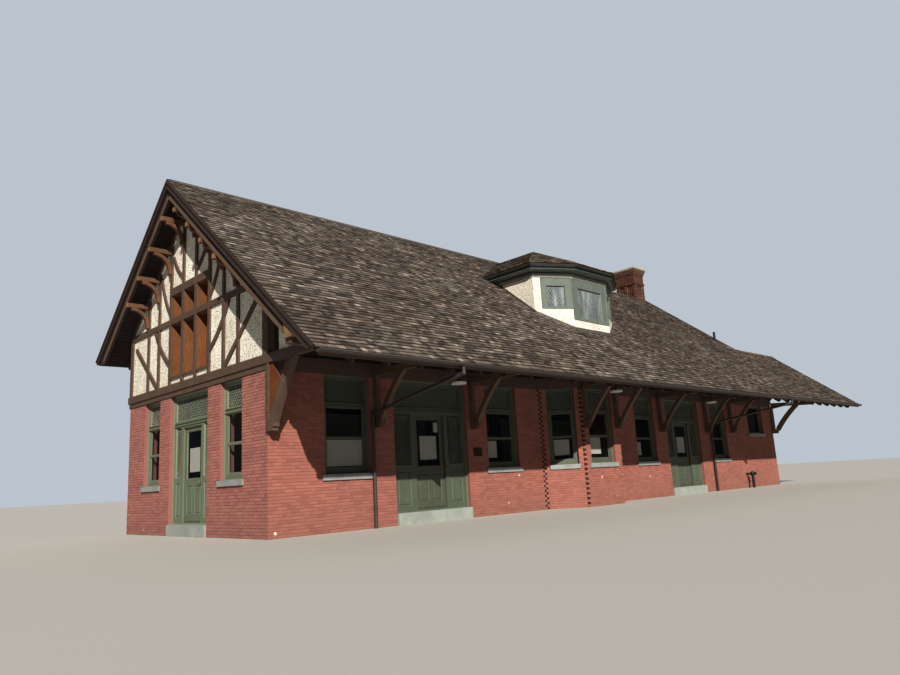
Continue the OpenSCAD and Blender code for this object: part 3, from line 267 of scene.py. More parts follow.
def brick_paint(name, tint, island=0.16, grime=0.5, soot=None):
    """Pressed clay brick under old masonry paint: dead matt, a little uneven from brick to brick,
    with rain-splashed dirt near the ground. Grit is 3 mm and drawn at 6 mm so that it shows. soot
    is the height where it starts and where it is thickest."""
    material, node, place = start(name)
    each = node("NewGeometry").outputs["Random Per Island"]
    tone = node("ValToRGB", {0: each}, [
        (0, shade(tint, 1 - island)), (0.5, shade(tint, 1)), (1, shade(tint, 1 + island * 0.7))])
    cloud = node("TexNoise", {"Vector": place, "Scale": 1.3, "Detail": 6.0, "Roughness": 0.6})
    grain = node("TexNoise", {"Vector": place, "Scale": 160.0, "Detail": 3.0})
    foot = node("Math", {0: below(node, place, 2, 0.0, 0.9), 1: cloud}, operation="MULTIPLY")
    foot = node("Math", {0: foot, 1: grime}, operation="MULTIPLY")
    tone = coat(
        node, tone,
        ("MULTIPLY", 0.55, node("ValToRGB", {0: cloud}, [(0.3, 0.72), (0.7, 1.0)])),
        ("OVERLAY", 0.22, grain.outputs["Color"]),
        ("MIX", foot, srgb("#6e5a50")))
    if soot:
        tone = coat(node, srgb("#7a6a62"), ("MULTIPLY", below(node, place, 2, *soot), tone),
                    ("MIX", 0.1, shade(tint, 0.9)))
    # Bare pale spots where the paint has been knocked off, low on the wall
    chip = node("TexNoise", {"Vector": place, "Scale": 5.5, "Detail": 2.0})
    chip = node("ValToRGB", {0: chip}, [(0.755, 0.0), (0.765, 1.0)])
    chip = node("Math", {0: chip, 1: below(node, place, 2, 0.9, 1.4)}, operation="MULTIPLY")
    tone = coat(node, tone, ("MIX", chip, srgb("#d8cdc4")))
    return finish(
        material, {"Base Color": tone, "Roughness": 0.86, "IOR": 1.45}, grain, 0.0015, 0.5)


def mortar(name, tint, plaster=True):
    """Lime mortar under the same paint, sandy and a shade darker; the rooms' side is plastered.
    Sand is 1 mm and drawn at 5 mm."""
    material, node, place = start(name)
    sand = node("TexNoise", {"Vector": place, "Scale": 220.0, "Detail": 4.0})
    cloud = node("TexNoise", {"Vector": place, "Scale": 2.0, "Detail": 4.0})
    tone = coat(node, shade(tint, 0.7), ("MIX", cloud, shade(tint, 0.92)))
    if plaster:
        split, inside, skin = node("SeparateXYZ", {0: place}), 1.0, 0.004
        for axis, limit, test in (
            (1, ORIGIN[1] + WALL_T - skin, "GREATER_THAN"),
            (1, ORIGIN[1] + WALL_D - WALL_T + skin, "LESS_THAN"),
            (0, ORIGIN[0] + WALL_T - skin, "GREATER_THAN"),
        ):
            within = node("Math", {0: split.outputs[axis], 1: limit}, operation=test)
            inside = node("Math", {0: inside, 1: within}, operation="MULTIPLY")
        tone = coat(node, tone, ("MIX", inside, srgb("#cfc6b4")))
    return finish(material, {"Base Color": tone, "Roughness": 0.95}, sand, 0.002, 0.6)


def timber(name, tint, roughness=0.72, axis=None, rails=(), wear=0.5, island=0.0):
    """Sawn softwood under old brown paint: satin to dull, grain rings 6 to 12 mm apart telegraphing
    through, rubbed paler on the raised grain. The grain runs upright, or along axis, and turns
    level inside the height bands of the rails. island is how far one board differs from another."""
    material, node, place = start(name)

    def grain_along(scale):
        stretched = node("Mapping", {0: place, 3: scale})
        return node("TexNoise", {
            "Vector": stretched, "Scale": 6.0, "Detail": 5.0, "Distortion": 0.35})

    grain = grain_along({None: (14, 14, 1.1), "x": (1.1, 14, 14), "y": (14, 1.1, 14)}[axis])
    for low, high in rails:
        height = node("SeparateXYZ", {0: place}).outputs[2]
        inside = node("Math", {0: height, 1: (low + high) / 2, 2: (high - low) / 2},
                      operation="COMPARE")
        grain = node("Mix", {0: inside, 2: grain, 3: grain_along((14, 1.1, 14))},
                     data_type="FLOAT")
    tone = node("ValToRGB", {0: grain}, [
        (0.3, shade(tint, 0.68)), (0.52, shade(tint, 1.0)), (0.75, shade(tint, 1.4))])
    blotch = node("TexNoise", {"Vector": place, "Scale": 2.2, "Detail": 5.0})
    tone = coat(
        node, tone, ("MULTIPLY", wear, node("ValToRGB", {0: blotch}, [(0.3, 0.6), (0.7, 1.0)])))
    if island:
        each = node("NewGeometry").outputs["Random Per Island"]
        tone = coat(node, tone, ("MULTIPLY", island, node("ValToRGB", {0: each}, [
            (0.0, srgb("#7a6258")), (0.5, srgb("#b8a090")), (0.8, 1.0)])))
    return finish(
        material, {"Base Color": tone, "Roughness": roughness, "IOR": 1.47}, grain, 0.003, 0.5)


def rough_cast(name, tint):
    """Lime render thrown with 4 to 8 mm pebbles and limewashed cream: a dry, sparkling grain with
    tiny shadows, streaked grey where rain runs. Pebbles are drawn at 20 mm so that they show."""
    material, node, place = start(name)
    pebble = node("TexVoronoi", {"Vector": place, "Scale": 50.0, "Randomness": 1.0})
    speck = node("TexNoise", {"Vector": place, "Scale": 34.0, "Detail": 3.0})
    cloud = node("TexNoise", {
        "Vector": node("Mapping", {0: place, 3: (1.4, 1.4, 0.5)}), "Scale": 1.2, "Detail": 6.0})
    tone = coat(
        node, tint,
        ("MULTIPLY", 0.4, node("ValToRGB", {0: cloud}, [(0.3, srgb("#b9b3a4")), (0.65, 1.0)])),
        ("MULTIPLY", 0.75, node("ValToRGB", {0: speck}, [(0.39, srgb("#857d70")), (0.48, 1.0)])))
    return finish(material, {"Base Color": tone, "Roughness": 0.93}, pebble, 0.006, 0.8)


def shingle(name, tint, dark):
    """Split wood shingles weathered grey-brown: dull, no two alike, darker and browner past the
    washed stretch by the dormer, with lichen near the ridge."""
    material, node, place = start(name)
    each = node("NewGeometry").outputs["Random Per Island"]
    tone = node("ValToRGB", {0: each}, [
        (0.0, dark), (0.25, shade(tint, 0.62)), (0.6, shade(tint, 0.95)),
        (0.88, shade(tint, 1.2)), (0.97, shade(tint, 2.0))])
    streak = node("TexNoise", {
        "Vector": node("Mapping", {0: place, 3: (26, 2.0, 2.0)}), "Scale": 3.0, "Detail": 5.0})
    # Whole runs of a course have weathered together: they read as dark and light lines
    course = node("TexNoise", {
        "Vector": node("Mapping", {0: place, 3: (0.9, 0.9, 9.0)}),
        "Scale": 1.4, "Detail": 4.0, "Roughness": 0.7})
    cloud = node("TexNoise", {"Vector": place, "Scale": 0.6, "Detail": 5.0})
    tone = coat(
        node, tone,
        ("MULTIPLY", 0.45, node("ValToRGB", {0: streak}, [(0.32, 0.55), (0.62, 1.0)])),
        ("MULTIPLY", 0.6, node("ValToRGB", {0: course}, [(0.42, srgb("#7d726b")), (0.54, 1.0)])),
        ("MULTIPLY", 0.5, node("ValToRGB", {0: cloud}, [(0.35, srgb("#b09a8c")), (0.6, 1.0)])))
    # The washed stretch ends in a line down the slope, beside the dormer
    washed = below(node, place, 0, ORIGIN[0] + 13.2, ORIGIN[0] + 13.5)
    tone = coat(node, tone, ("MULTIPLY", 1.0, srgb("#e6e2e0")), ("MIX", washed, tone))
    lichen = node("TexNoise", {"Vector": place, "Scale": 9.0, "Detail": 3.0})
    spots = node("ValToRGB", {0: lichen}, [(0.66, 0.0), (0.72, 1.0)])
    top = node("Math", {0: 1.0, 1: below(node, place, 2, 7.4, 8.8)}, operation="SUBTRACT")
    spots = node("Math", {0: spots, 1: top}, operation="MULTIPLY")
    tone = coat(node, tone, ("MIX", spots, srgb("#8c7b3c")))
    return finish(material, {"Base Color": tone, "Roughness": 0.88}, streak, 0.004, 0.6)


def paint(name, tint, roughness=0.42, brushed=0.12, chalk=0.25, bleached=None):
    """Oil paint brushed on joinery: smooth with a soft gloss, faint brush lines 2 mm apart drawn
    at 6 mm, and dusty chalking in patches. The gable's side has faded to bleached."""
    material, node, place = start(name)
    brush = node("TexNoise", {
        "Vector": node("Mapping", {0: place, 3: (150, 150, 3)}), "Scale": 1.0, "Detail": 2.0})
    patch = node("TexNoise", {"Vector": place, "Scale": 3.5, "Detail": 6.0})
    dusty = node("ValToRGB", {0: patch}, [(0.35, 0.0), (0.75, chalk)])
    tone = coat(node, tint, ("MIX", dusty, shade(tint, 1.6)))
    if bleached:
        side = below(node, place, 0, ORIGIN[0] + 0.3, ORIGIN[0] + 0.4)
        tone = coat(node, tone, ("MIX", side, bleached))
    lines = node("ValToRGB", {0: brush}, [(0.3, 0.3), (0.7, 0.7)])
    tone = coat(node, tone, ("OVERLAY", brushed, lines))
    worn = node("MapRange", {0: patch, 1: 0.3, 2: 0.7, 3: roughness, 4: roughness + 0.2})
    return finish(
        material, {"Base Color": tone, "Roughness": worn, "IOR": 1.5}, brush, 0.0006, 0.3)


def stone(name, tint, scale=30.0, roughness=0.8):
    """Sawn stone: fine crystals 5 to 15 mm across, matt, stained in clouds."""
    material, node, place = start(name)
    crystal = node("TexVoronoi", {"Vector": place, "Scale": scale * 4}).outputs["Color"]
    cloud = node("TexNoise", {"Vector": place, "Scale": scale / 8, "Detail": 6.0})
    tone = coat(
        node, tint, ("MULTIPLY", 0.6, node("ValToRGB", {0: cloud}, [(0.3, 0.62), (0.7, 1.0)])),
        ("SOFT_LIGHT", 0.35, crystal))
    return finish(material, {"Base Color": tone, "Roughness": roughness}, cloud, 0.003, 0.4)


def metal(name, tint, roughness, metallic=1.0, streaks=0.4):
    """Rolled sheet or a casting, bare or painted: stained in clouds up to 200 mm across, with a
    sheen that dulls from one to the next."""
    material, node, place = start(name)
    stain = node("TexNoise", {"Vector": place, "Scale": 5.0, "Detail": 8.0})
    tone = coat(
        node, tint, ("MULTIPLY", streaks, node("ValToRGB", {0: stain}, [(0.3, 0.5), (0.65, 1.0)])))
    worn = node("MapRange", {0: stain, 1: 0.3, 2: 0.7, 3: roughness - 0.08, 4: roughness + 0.12})
    return finish(material, {"Base Color": tone, "Metallic": metallic, "Roughness": worn},
                  stain, 0.0015, 0.25)


def glass(name):
    """Old drawn window glass, 6 mm: a dark grey film at 0.22 opacity, painted shade for the dark
    rooms behind it, a clean bright reflection, and slow waves about 140 mm across from the drawing."""
    material, node, place = start(name)
    wave = node("TexNoise", {"Vector": place, "Scale": 7.0, "Detail": 1.0})
    # The dark base colour is painted shade: the darkness of the rooms seen through the glass
    return finish(material, {
        "Base Color": srgb("#1b2022"), "Roughness": 0.04, "IOR": 1.52, "Alpha": 0.22},
        wave, 0.004, 0.15)


def blind_glass(name):
    """The same glass with a pale holland blind let down close behind it, in slow folds whose light
    and shade are painted on as darker and paler bands.
    """
    material, node, place = start(name)
    fold_shading = node("TexNoise", {
        "Vector": node("Mapping", {0: place, 3: (5.0, 5.0, 1.2)}), "Scale": 1.0, "Detail": 3.0})
    # Painted shade and light of the blind's folds
    tone = node("ValToRGB", {0: fold_shading}, [
        (0.35, srgb("#4b545c")), (0.55, srgb("#77818a")), (0.7, srgb("#9fa8ac"))])
    return finish(material, {"Base Color": tone, "Roughness": 0.08, "IOR": 1.52})


def two_tone(name, tint, upper, height):
    """Hard gloss paint or stoved enamel in one colour up to a height and in another above it, with
    a film of dust."""
    material, node, place = start(name)
    dust = node("TexNoise", {"Vector": place, "Scale": 12.0, "Detail": 4.0})
    lower = coat(
        node, tint, ("MULTIPLY", 0.2, node("ValToRGB", {0: dust}, [(0.35, 0.6), (0.6, 1.0)])))
    tone = coat(node, upper, ("MIX", below(node, place, 2, height, height + 0.005), lower))
    return finish(material, {"Base Color": tone, "Roughness": 0.3, "IOR": 1.5})


def make_finishes(c):
    """Makes every finish once; it is found by its name from then on."""
    brick_paint("painted_brick_front", c.front_brick)
    brick_paint("painted_brick_gable", c.gable_brick)
    brick_paint("bare_brick_stack", c.chimney_brick, 0.8, 0.0, soot=(9.7, 10.2))
    mortar("painted_mortar_front", c.front_brick)
    mortar("painted_mortar_gable", c.gable_brick)
    mortar("bare_mortar_stack", srgb("#8f7d70"), plaster=False)
    # Near-black for the plates in the bay's notches: painted shade, the shadow deep in them
    mortar("painted_shade_notch_mortar", srgb("#33211f"), plaster=False)
    timber("painted_fir_posts", c.timber, rails=GABLE_RAILS)
    timber("painted_fir_beams", c.timber, axis="x")
    timber("painted_fir_gable_beam", c.timber, axis="y")
    timber("painted_fir_eaves", c.dark_timber, axis="y")
    timber("painted_fir_brackets", c.bracket)
    timber("stained_fir_verge", c.verge, wear=0.9)
    timber("painted_fir_end_grain", srgb("#8f7253"), 0.8)
    timber("stained_cedar_boards", c.louvre, 0.6, wear=0.6)
    timber("stained_cedar_lining", shade(c.louvre, 1.6), 0.6, wear=0.6, island=0.8)
    timber("soffit_pine_boards", shade(c.dark_timber, 0.8), axis="x")
    timber("tarred_roof_deck", srgb("#40352d"), 0.85)
    timber("oak_peg", srgb("#806649"), 0.6)
    rough_cast("limewashed_rough_cast", c.stucco)
    shingle("split_shingles", c.shingle, c.shingle_dark)
    # Dark strips below the butts: painted shadow under each butt, with dirt
    shingle("shadow_and_dirt_shingle_heads", shade(c.shingle_dark, 0.55), shade(c.shingle_dark, 0.4))
    paint("gloss_paint_dormer", c.dormer, 0.3)
    paint("oil_paint_sage", c.sage, bleached=srgb("#6d7765"))
    paint("oil_paint_dormer", c.dormer_frame)
    paint("oil_paint_doors", c.door, 0.38)
    paint("oil_paint_gable_door", srgb("#656e5d"), 0.38)
    paint("oil_paint_soffit", srgb("#8b908c"), 0.5, 0.05, 0.1)
    paint("plain_paper", srgb("#f2f0ea"), 0.8, 0.0, 0.0)
    # Below the cornice line the grey is painted shade, the grey of shaded stucco put on the
    # cornice's foot; above it the dark gloss
    two_tone("gloss_paint_cornice_shaded_foot", srgb("#80807a"), c.dormer, CORNICE_LINE)
    two_tone("white_enamel", srgb("#f0eee8"), srgb("#1f1e1d"), LAMP_STEM)
    stone("sawn_sill_stone", c.sill)
    stone("dressed_step_stone", c.step, 24.0)
    stone("screeded_concrete", srgb("#7d7a74"), 18.0, 0.9)
    stone("cast_cap_stone", srgb("#a9a397"), 26.0)
    metal("galvanised_flashing", c.ridge, 0.55, 0.4)
    metal("painted_sheet_gutter", c.gutter, 0.5, 0.0)
    metal("cast_bronze", srgb("#4d3f2c"), 0.45)
    metal("black_cast_iron", srgb("#1b1b1c"), 0.5, 0.0, 0.2)
    metal("lead_came", srgb("#989e90"), 0.5, 0.2)
    metal("lacquered_brass", srgb("#a88444"), 0.3)
    glass("drawn_glass")
    blind_glass("blind_glass")


SLOT_FINISH = {
    "front_brick": "painted_mortar_front",
    "gable_brick": "painted_mortar_gable",
    "floor_concrete": "screeded_concrete",
    "beam_timber": "painted_fir_posts",
    "stucco": "limewashed_rough_cast",
    "louvre_boards": "stained_cedar_boards",
    "dark_timber": "painted_fir_eaves",
    "shingles": "tarred_roof_deck",
    "ridge_metal": "galvanised_flashing",
    "gutter_metal": "painted_sheet_gutter",
    "dormer_green": "gloss_paint_dormer",
    "sage_paint": "oil_paint_sage",
    "door_paint": "oil_paint_doors",
    "window_glass": "drawn_glass",
    "chimney_brick": "bare_mortar_stack",
    "chimney_cap_stone": "cast_cap_stone",
    "sill_stone": "sawn_sill_stone",
    "step_stone": "dressed_step_stone",
    "lamp_white": "white_enamel",
    "plaque_bronze": "cast_bronze",
    "black_iron": "black_cast_iron",
}
NODE_FINISH = {
    "sill_beam_front": "painted_fir_beams",
    "sill_beam_rear": "painted_fir_beams",
    "sill_beam_gable": "painted_fir_gable_beam",
    "eave_beam": "painted_fir_beams",
    "eave_brackets": "painted_fir_brackets",
    "bargeboards": "painted_fir_eaves",
    "verge_brackets": "stained_fir_verge",
    "dormer_windows": "oil_paint_dormer",
    "dormer_glass": "blind_glass",
    "rear_glass": "blind_glass",
    # The cornice's grey foot is painted shade
    "dormer_cornice": "gloss_paint_cornice_shaded_foot",
    "gable_door": "oil_paint_gable_door",
}


# Mesh making


class Face:
    """A flat face of the building: a corner, the directions along and up it, and outwards."""

    def __init__(self, corner, along, up=(0, 0, 1)):
        self.corner = np.array(corner, float)
        self.along = np.array(along, float) / np.linalg.norm(along)
        self.out = np.cross(self.along, np.array(up, float))
        self.out /= np.linalg.norm(self.out)
        self.up = np.cross(self.out, self.along)

    def at(self, u, v, w):
        """Points at distances along, up and out of the face, in the frame of the model."""
        u, v, w = np.broadcast_arrays(u, v, w)
        return (
            self.corner + ORIGIN + u[..., None] * self.along + v[..., None] * self.up
            + w[..., None] * self.out
        )


class Pile:
    """Points and faces gathered for one object."""

    def __init__(self):
        self.points, self.faces, self.count = [], [], 0

    def add(self, points, faces):
        """points is (pieces, points, 3); faces are the same corner numbers for every piece."""
        points = np.asarray(points, float)
        n, k = points.shape[:2]
        if not n:
            return
        starts = self.count + k * np.arange(n)
        for face in faces:
            self.faces.extend((starts[:, None] + np.array(face)).tolist())
        self.points.append(points.reshape(-1, 3))
        self.count += n * k

    def build(self, name, material, slot, body="building", smooth=False):
        """Makes the object, in its material, riding on a body."""
        mesh = bpy.data.meshes.new(name)
        mesh.from_pydata(np.concatenate(self.points).tolist(), [], self.faces)
        mesh.validate()
        if smooth:
            mesh.shade_smooth()
        mesh.materials.append(bpy.data.materials[material])
        made = bpy.data.objects.new(name, mesh)
        bpy.context.scene.collection.objects.link(made)
        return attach(made, body)


# Corner order of a block: four behind, then four in front, each anticlockwise from low left
BLOCK = [(4, 5, 6, 7), (0, 1, 5, 4), (1, 2, 6, 5), (2, 3, 7, 6), (3, 0, 4, 7)]
CLOSED = BLOCK + [(3, 2, 1, 0)]


def blocks(pile, face, boxes, back, front, ease=0.0, faces=BLOCK):
    """Blocks on a face, each (left, right, low, high), eased at their front edges."""
    b = np.asarray(boxes, float).reshape(-1, 4)
    if not len(b):
        return
    u = np.stack([b[:, 0], b[:, 1], b[:, 1], b[:, 0]], 1)
    v = np.stack([b[:, 2], b[:, 2], b[:, 3], b[:, 3]], 1)
    du, dv = np.array([ease, -ease, -ease, ease]), np.array([ease, ease, -ease, -ease])
    front = np.broadcast_to(np.asarray(front, float), (len(b),))[:, None]
    points = np.concatenate([face.at(u, v, back), face.at(u + du, v + dv, front)], 1)
    pile.add(points, faces)


def gaps(low, high, holes):
    """What is left of the stretch from low to high between the holes."""
    left = [(low, high)]
    for a, b in holes:
        parts = [part for l, h in left for part in ((l, min(h, a)), (max(l, b), h))]
        left = [part for part in parts if part[1] > part[0]]
    return left


def in_row(edges, gap, low, high):
    """Boxes side by side between edges, each held back by a gap at both its ends."""
    return [(l + gap, r - gap, low, high) for l, r in zip(edges, edges[1:])]


def brick_boxes(sizes, low, high, height, holes=(), teeth=((0, 0), (0, 0)), z0=0.0):
    """Bricks in bond from low to high, round holes of (left, right, bottom, top). teeth is how far
    the courses stop short of each end: a number for the even ones and one for the odd ones."""
    course, joint = sizes.brick_course, sizes.joint
    boxes = []
    for row in range(int(round(z0 / course)), int(round(height / course))):
        z, middle = row * course, (row + 0.5) * course
        header = row % sizes.header_every == sizes.header_every - 1
        pitch = (sizes.brick_l + joint) / (2 if header else 1)
        shift = pitch / 2 * (row % 2)
        cuts = [(a, b) for a, b, c, d in holes if c < middle < d]
        for a, b in gaps(low + teeth[0][row % 2], high - teeth[1][row % 2], cuts):
            first = math.floor((a - shift) / pitch)
            ends = [shift + pitch * i for i in range(first + 1, math.ceil((b - shift) / pitch))]
            edges = [a] + [end for end in ends if a + 0.04 < end < b - 0.04] + [b]
            boxes += in_row(edges, joint / 4, z + joint / 2, z + course - joint / 2)
    return boxes


def lay_bricks(pile, sizes, face, low, high, height, holes=(), teeth=((0, 0), (0, 0)), z0=0.0):
    """Lays bricks on a face, each a little more or less proud than the next."""
    boxes = brick_boxes(sizes, low, high, height, holes, teeth, z0)
    proud = sizes.brick_proud + rng.normal(0, 0.0006, len(boxes))
    blocks(pile, face, boxes, -0.002, proud, 0.0025)


def reveals(pile, sizes, face, holes, top):
    """Brick returns in the sides of openings in a face, from the wall's face to the frames."""
    for left, right, foot, _ in holes:
        for u, sign in ((left, 1), (right, -1)):
            at = face.corner + face.along * u - face.out * (REVEAL if sign > 0 else 0)
            side = Face(at, face.out * sign)
            lay_bricks(pile, sizes, side, 0.0, REVEAL - 0.001, top, z0=max(foot, FLOOR_Z))


def span(polygon, v):
    """Where the level v enters and leaves a flat convex polygon."""
    hits = []
    for (u0, v0), (u1, v1) in zip(polygon, polygon[1:] + polygon[:1]):
        if (v0 - v) * (v1 - v) < 0 or v0 == v != v1:
            hits.append(u0 + (u1 - u0) * (v - v0) / (v1 - v0))
    return (min(hits), max(hits)) if len(hits) > 1 else None


def lay_shingles(pile, heads, sizes, corners, hole=None, over=0.03, lift=0.001):
    """Shingles on a sloping face given by its corners, the first two along its lower edge. hole
    gives what to leave out at a height up the slope. heads gathers a dark line below each course's
    butts: painted shadow of the butt, with dirt."""
    p = [np.array(c, float) for c in corners]
    face = Face(p[0], p[1] - p[0], p[-1] - p[0])
    flat = [((q - p[0]) @ face.along, (q - p[0]) @ face.up) for q in p]
    top = max(v for _, v in flat) - 0.001
    step, lap, rows = sizes.shingle_step, 1.25, []
    for row in range(int(top / step) + 1):
        v = row * step
        v1 = min(v + step * lap, top)
        low, high = span(flat, v + 0.001), span(flat, v1)
        if not low or not high:
            continue
        a, b = min(low[0], high[0]), max(low[1], high[1])
        widths = rng.uniform(0.6, 1.4, int((b - a) / sizes.shingle_w) * 2 + 4) * sizes.shingle_w
        edges = [a, *[e for e in a + np.cumsum(widths) if e < b - 0.05], b]
        holes = hole(v + step / 2) if hole else ()
        for left, right in zip(edges, edges[1:]):
            for l, r in gaps(left, right, holes):
                l, r = l + 0.002, r - 0.002
                cut = [np.clip(l, *low), np.clip(r, *low), np.clip(r, *high), np.clip(l, *high)]
                if cut[1] - cut[0] > 0.01 or cut[2] - cut[3] > 0.01:
                    slip = rng.uniform(-0.006, 0.004)
                    rows.append((*cut, v - (0.0 if row else over) + slip, v1))
    b = np.array(rows)
    # The dark line, painted shadow of the butt above with dirt, lies on the course below, under
    # each butt but the first course's
    d = b[b[:, 4] > step / 2]
    v = np.stack([d[:, 4] - sizes.shade_dirt_w] * 2 + [d[:, 4]] * 2, 1)
    u = np.stack([d[:, 0], d[:, 1], d[:, 1], d[:, 0]], 1)
    w = np.broadcast_to(lift + sizes.shingle_t * np.array([0.55, 0.55, 0.32, 0.32]), u.shape)
    heads.add(face.at(u, v, w), [(0, 1, 2, 3)])
    thick = sizes.shingle_t * rng.uniform(0.75, 1.3, len(b))
    u = b[:, [0, 1, 2, 3, 0, 1]]
    v = b[:, [4, 4, 5, 5, 4, 4]]
    none = np.full(len(b), lift)
    w = np.stack([none + thick, none + thick, none, none, none - 0.004, none - 0.004], 1)
    pile.add(face.at(u, v, w), [(0, 1, 2, 3), (4, 5, 1, 0), (0, 3, 4), (1, 5, 2)])


def strip(pile, a, b, side, wide, deep, ease=0.0):
    """A straight board from a to b. side is the direction of its width, which starts at a and b;
    its depth stands out to the left of the way from a to b, seen along side."""
    a, b, side = (np.array(p, float) for p in (a, b, side))
    along = (b - a) / np.linalg.norm(b - a)
    side = side - along * (side @ along)
    face = Face(a, along, side)
    blocks(pile, face, [(0, np.linalg.norm(b - a), 0, wide)], 0, deep, ease, CLOSED)


def strips(pile, chain, *board):
    """Boards end to end along a chain of points."""
    for a, b in zip(chain, chain[1:]):
        strip(pile, a, b, *board)


def tube(pile, a, b, radius, sides=8):
    """A straight round bar between two points, closed at both ends."""
    a, b = np.array(a, float) + ORIGIN, np.array(b, float) + ORIGIN
    d = (b - a) / np.linalg.norm(b - a)
    x = np.cross(d, (0, 0, 1) if abs(d[2]) < 0.9 else (1, 0, 0))
    x /= np.linalg.norm(x)
    y = np.cross(d, x)
    turn = np.arange(sides) * 2 * math.pi / sides
    ring = radius * (np.cos(turn)[:, None] * x + np.sin(turn)[:, None] * y)
    faces = [(i, (i + 1) % sides, sides + (i + 1) % sides, sides + i) for i in range(sides)]
    faces += [tuple(range(sides))[::-1], tuple(range(sides, 2 * sides))]
    pile.add(np.concatenate([ring + a, ring + b])[None], faces)


def domes(pile, face, places, radius, height, sides=10):
    """Round-headed pegs or bolts on a face."""
    turn = np.arange(sides) * 2 * math.pi / sides
    u0, v0 = np.array(places, float).reshape(-1, 2).T
    rings = []
    for r, h in ((radius, -0.002), (radius, height * 0.4), (radius * 0.6, height * 0.85)):
        rings.append(face.at(u0[:, None] + r * np.cos(turn), v0[:, None] + r * np.sin(turn), h))
    rings.append(face.at(u0[:, None], v0[:, None], height))
    faces = [(k * sides + i, k * sides + (i + 1) % sides, (k + 1) * sides + (i + 1) % sides,
              (k + 1) * sides + i) for k in (0, 1) for i in range(sides)]
    faces += [(2 * sides + i, 2 * sides + (i + 1) % sides, 3 * sides) for i in range(sides)]
    pile.add(np.concatenate(rings, 1), faces)


def rim(pile, face, box, width, back, front):
    """A moulding with mitred corners round the inside of a box: left, right, low, high."""
    l, r, b, t = box
    outer = [(l, b), (r, b), (r, t), (l, t)]
    l, r, b, t = l + width, r - width, b + width, t - width
    inner = [(l, b), (r, b), (r, t), (l, t)]
    for i in range(4):
        j = (i + 1) % 4
        u, v = np.array([outer[i], outer[j], inner[j], inner[i]]).T
        w = np.array([front, front, back, back])
        pile.add(np.concatenate([face.at(u, v, back), face.at(u, v, w)])[None], CLOSED)


def lattice(pile, sizes, face, box, back, front, larger=1.0):
    """Lead strips that cross in diamonds inside a box, with an edge lead all round."""
    l, r, b, t = box
    lean, pane = sizes.pane_w / sizes.pane_h, sizes.pane_w * larger
    half = sizes.came_w / 2 * math.hypot(1, lean)
    quads = []
    for sign in (1, -1):
        first = l - (t - b) * lean if sign > 0 else l
        last = r if sign > 0 else r + (t - b) * lean
        n = math.floor(first / pane)
        while (c := n * pane + pane / 2) < last:
            n += 1
            # The strip's middle is u = c + sign * lean * (v - b), cut to the box
            ends = [(c + sign * lean * (v - b), v) for v in (b, t)]
            sides = [(u, b + sign * (u - c) / lean) for u in (l, r)]
            ends += [(u, v) for u, v in sides if b < v < t]
            ends = [e for e in ends if l - 1e-6 <= e[0] <= r + 1e-6]
            if len(ends) < 2 or abs(ends[0][1] - ends[-1][1]) < 0.02:
                continue
            (u0, v0), (u1, v1) = min(ends, key=lambda e: e[1]), max(ends, key=lambda e: e[1])
            quads.append([(u0 - half, v0), (u0 + half, v0), (u1 + half, v1), (u1 - half, v1)])
    q = np.clip(np.array(quads), [l, b], [r, t])
    u, v = q[..., 0], q[..., 1]
    pile.add(np.concatenate([face.at(u, v, back), face.at(u, v, front)], 1), BLOCK)
    e = sizes.came_w
    edge = [(l, r, b, b + e), (l, r, t - e, t), (l, l + e, b, t), (r - e, r, b, t)]
    blocks(pile, face, edge, back, front)


def on_front(x, y=0.0):
    """A face that looks to the street."""
    return Face((x, y, 0), (1, 0, 0))


def on_gable(y, x=0.0):
    """A face that looks out of the gable; it runs from far to near."""
    return Face((x, y, 0), (0, -1, 0))


def on_back(x, y=WALL_D):
    """A face that looks to the back; it runs from the far end to the near end."""
    return Face((x, y, 0), (-1, 0, 0))


def on_end(y, x):
    """A face that looks out of the far end."""
    return Face((x, y, 0), (0, 1, 0))


def bay_faces():
    """The bay's left cant, front and right cant, each with its length and its window."""
    return [
        (Face((BAY_X0, 0, 0), (1, -1, 0)), CANT_L, CANT_WINDOW),
        (on_front(BAY_X0 + BAY_OUT, -BAY_OUT), BAY_X1 - BAY_X0 - 2 * BAY_OUT,
         (BAY_WINDOW[0] - BAY_X0 - BAY_OUT, BAY_WINDOW[1] - BAY_X0 - BAY_OUT)),
        (Face((BAY_X1 - BAY_OUT, -BAY_OUT, 0), (1, 1, 0)), CANT_L, CANT_WINDOW),
    ]


def windows():
    """Every window: a face that starts at its left jamb, its width and its foot."""
    found = [(on_front(a), b - a, SILL_Z) for a, b in FRONT_WINDOWS]
    found.append((on_front(SMALL_WINDOW[0]), SMALL_WINDOW[1] - SMALL_WINDOW[0], SMALL_Z))
    for face, _, (a, b) in bay_faces():
        found.append((Face(face.corner + face.along * a, face.along), b - a, SILL_Z))
    found += [(on_gable(b), b - a, SILL_Z) for a, b in GABLE_WINDOWS]
    found += [(on_back(b), b - a, SILL_Z) for a, b in REAR_WINDOWS]
    found.append((on_end(END_WINDOW[0], MAIN_END), END_WINDOW[1] - END_WINDOW[0], SILL_Z))
    return found


def doors():
    """Every door: its body, a face that starts at the unit's left jamb, the unit's width and the
    width of its side lights."""
    faces = (on_front(FRONT_DOORS[0][0]), on_front(FRONT_DOORS[1][0]), on_gable(GABLE_DOOR[1]))
    # Two jambs, two posts beside the leaf and its clearance
    taken = 0.18 + 0.22 + LEAF_W + 0.016
    return [(name, face, w, (w - taken) / 2) for (name, w), face in zip(DOOR_WIDTHS.items(), faces)]


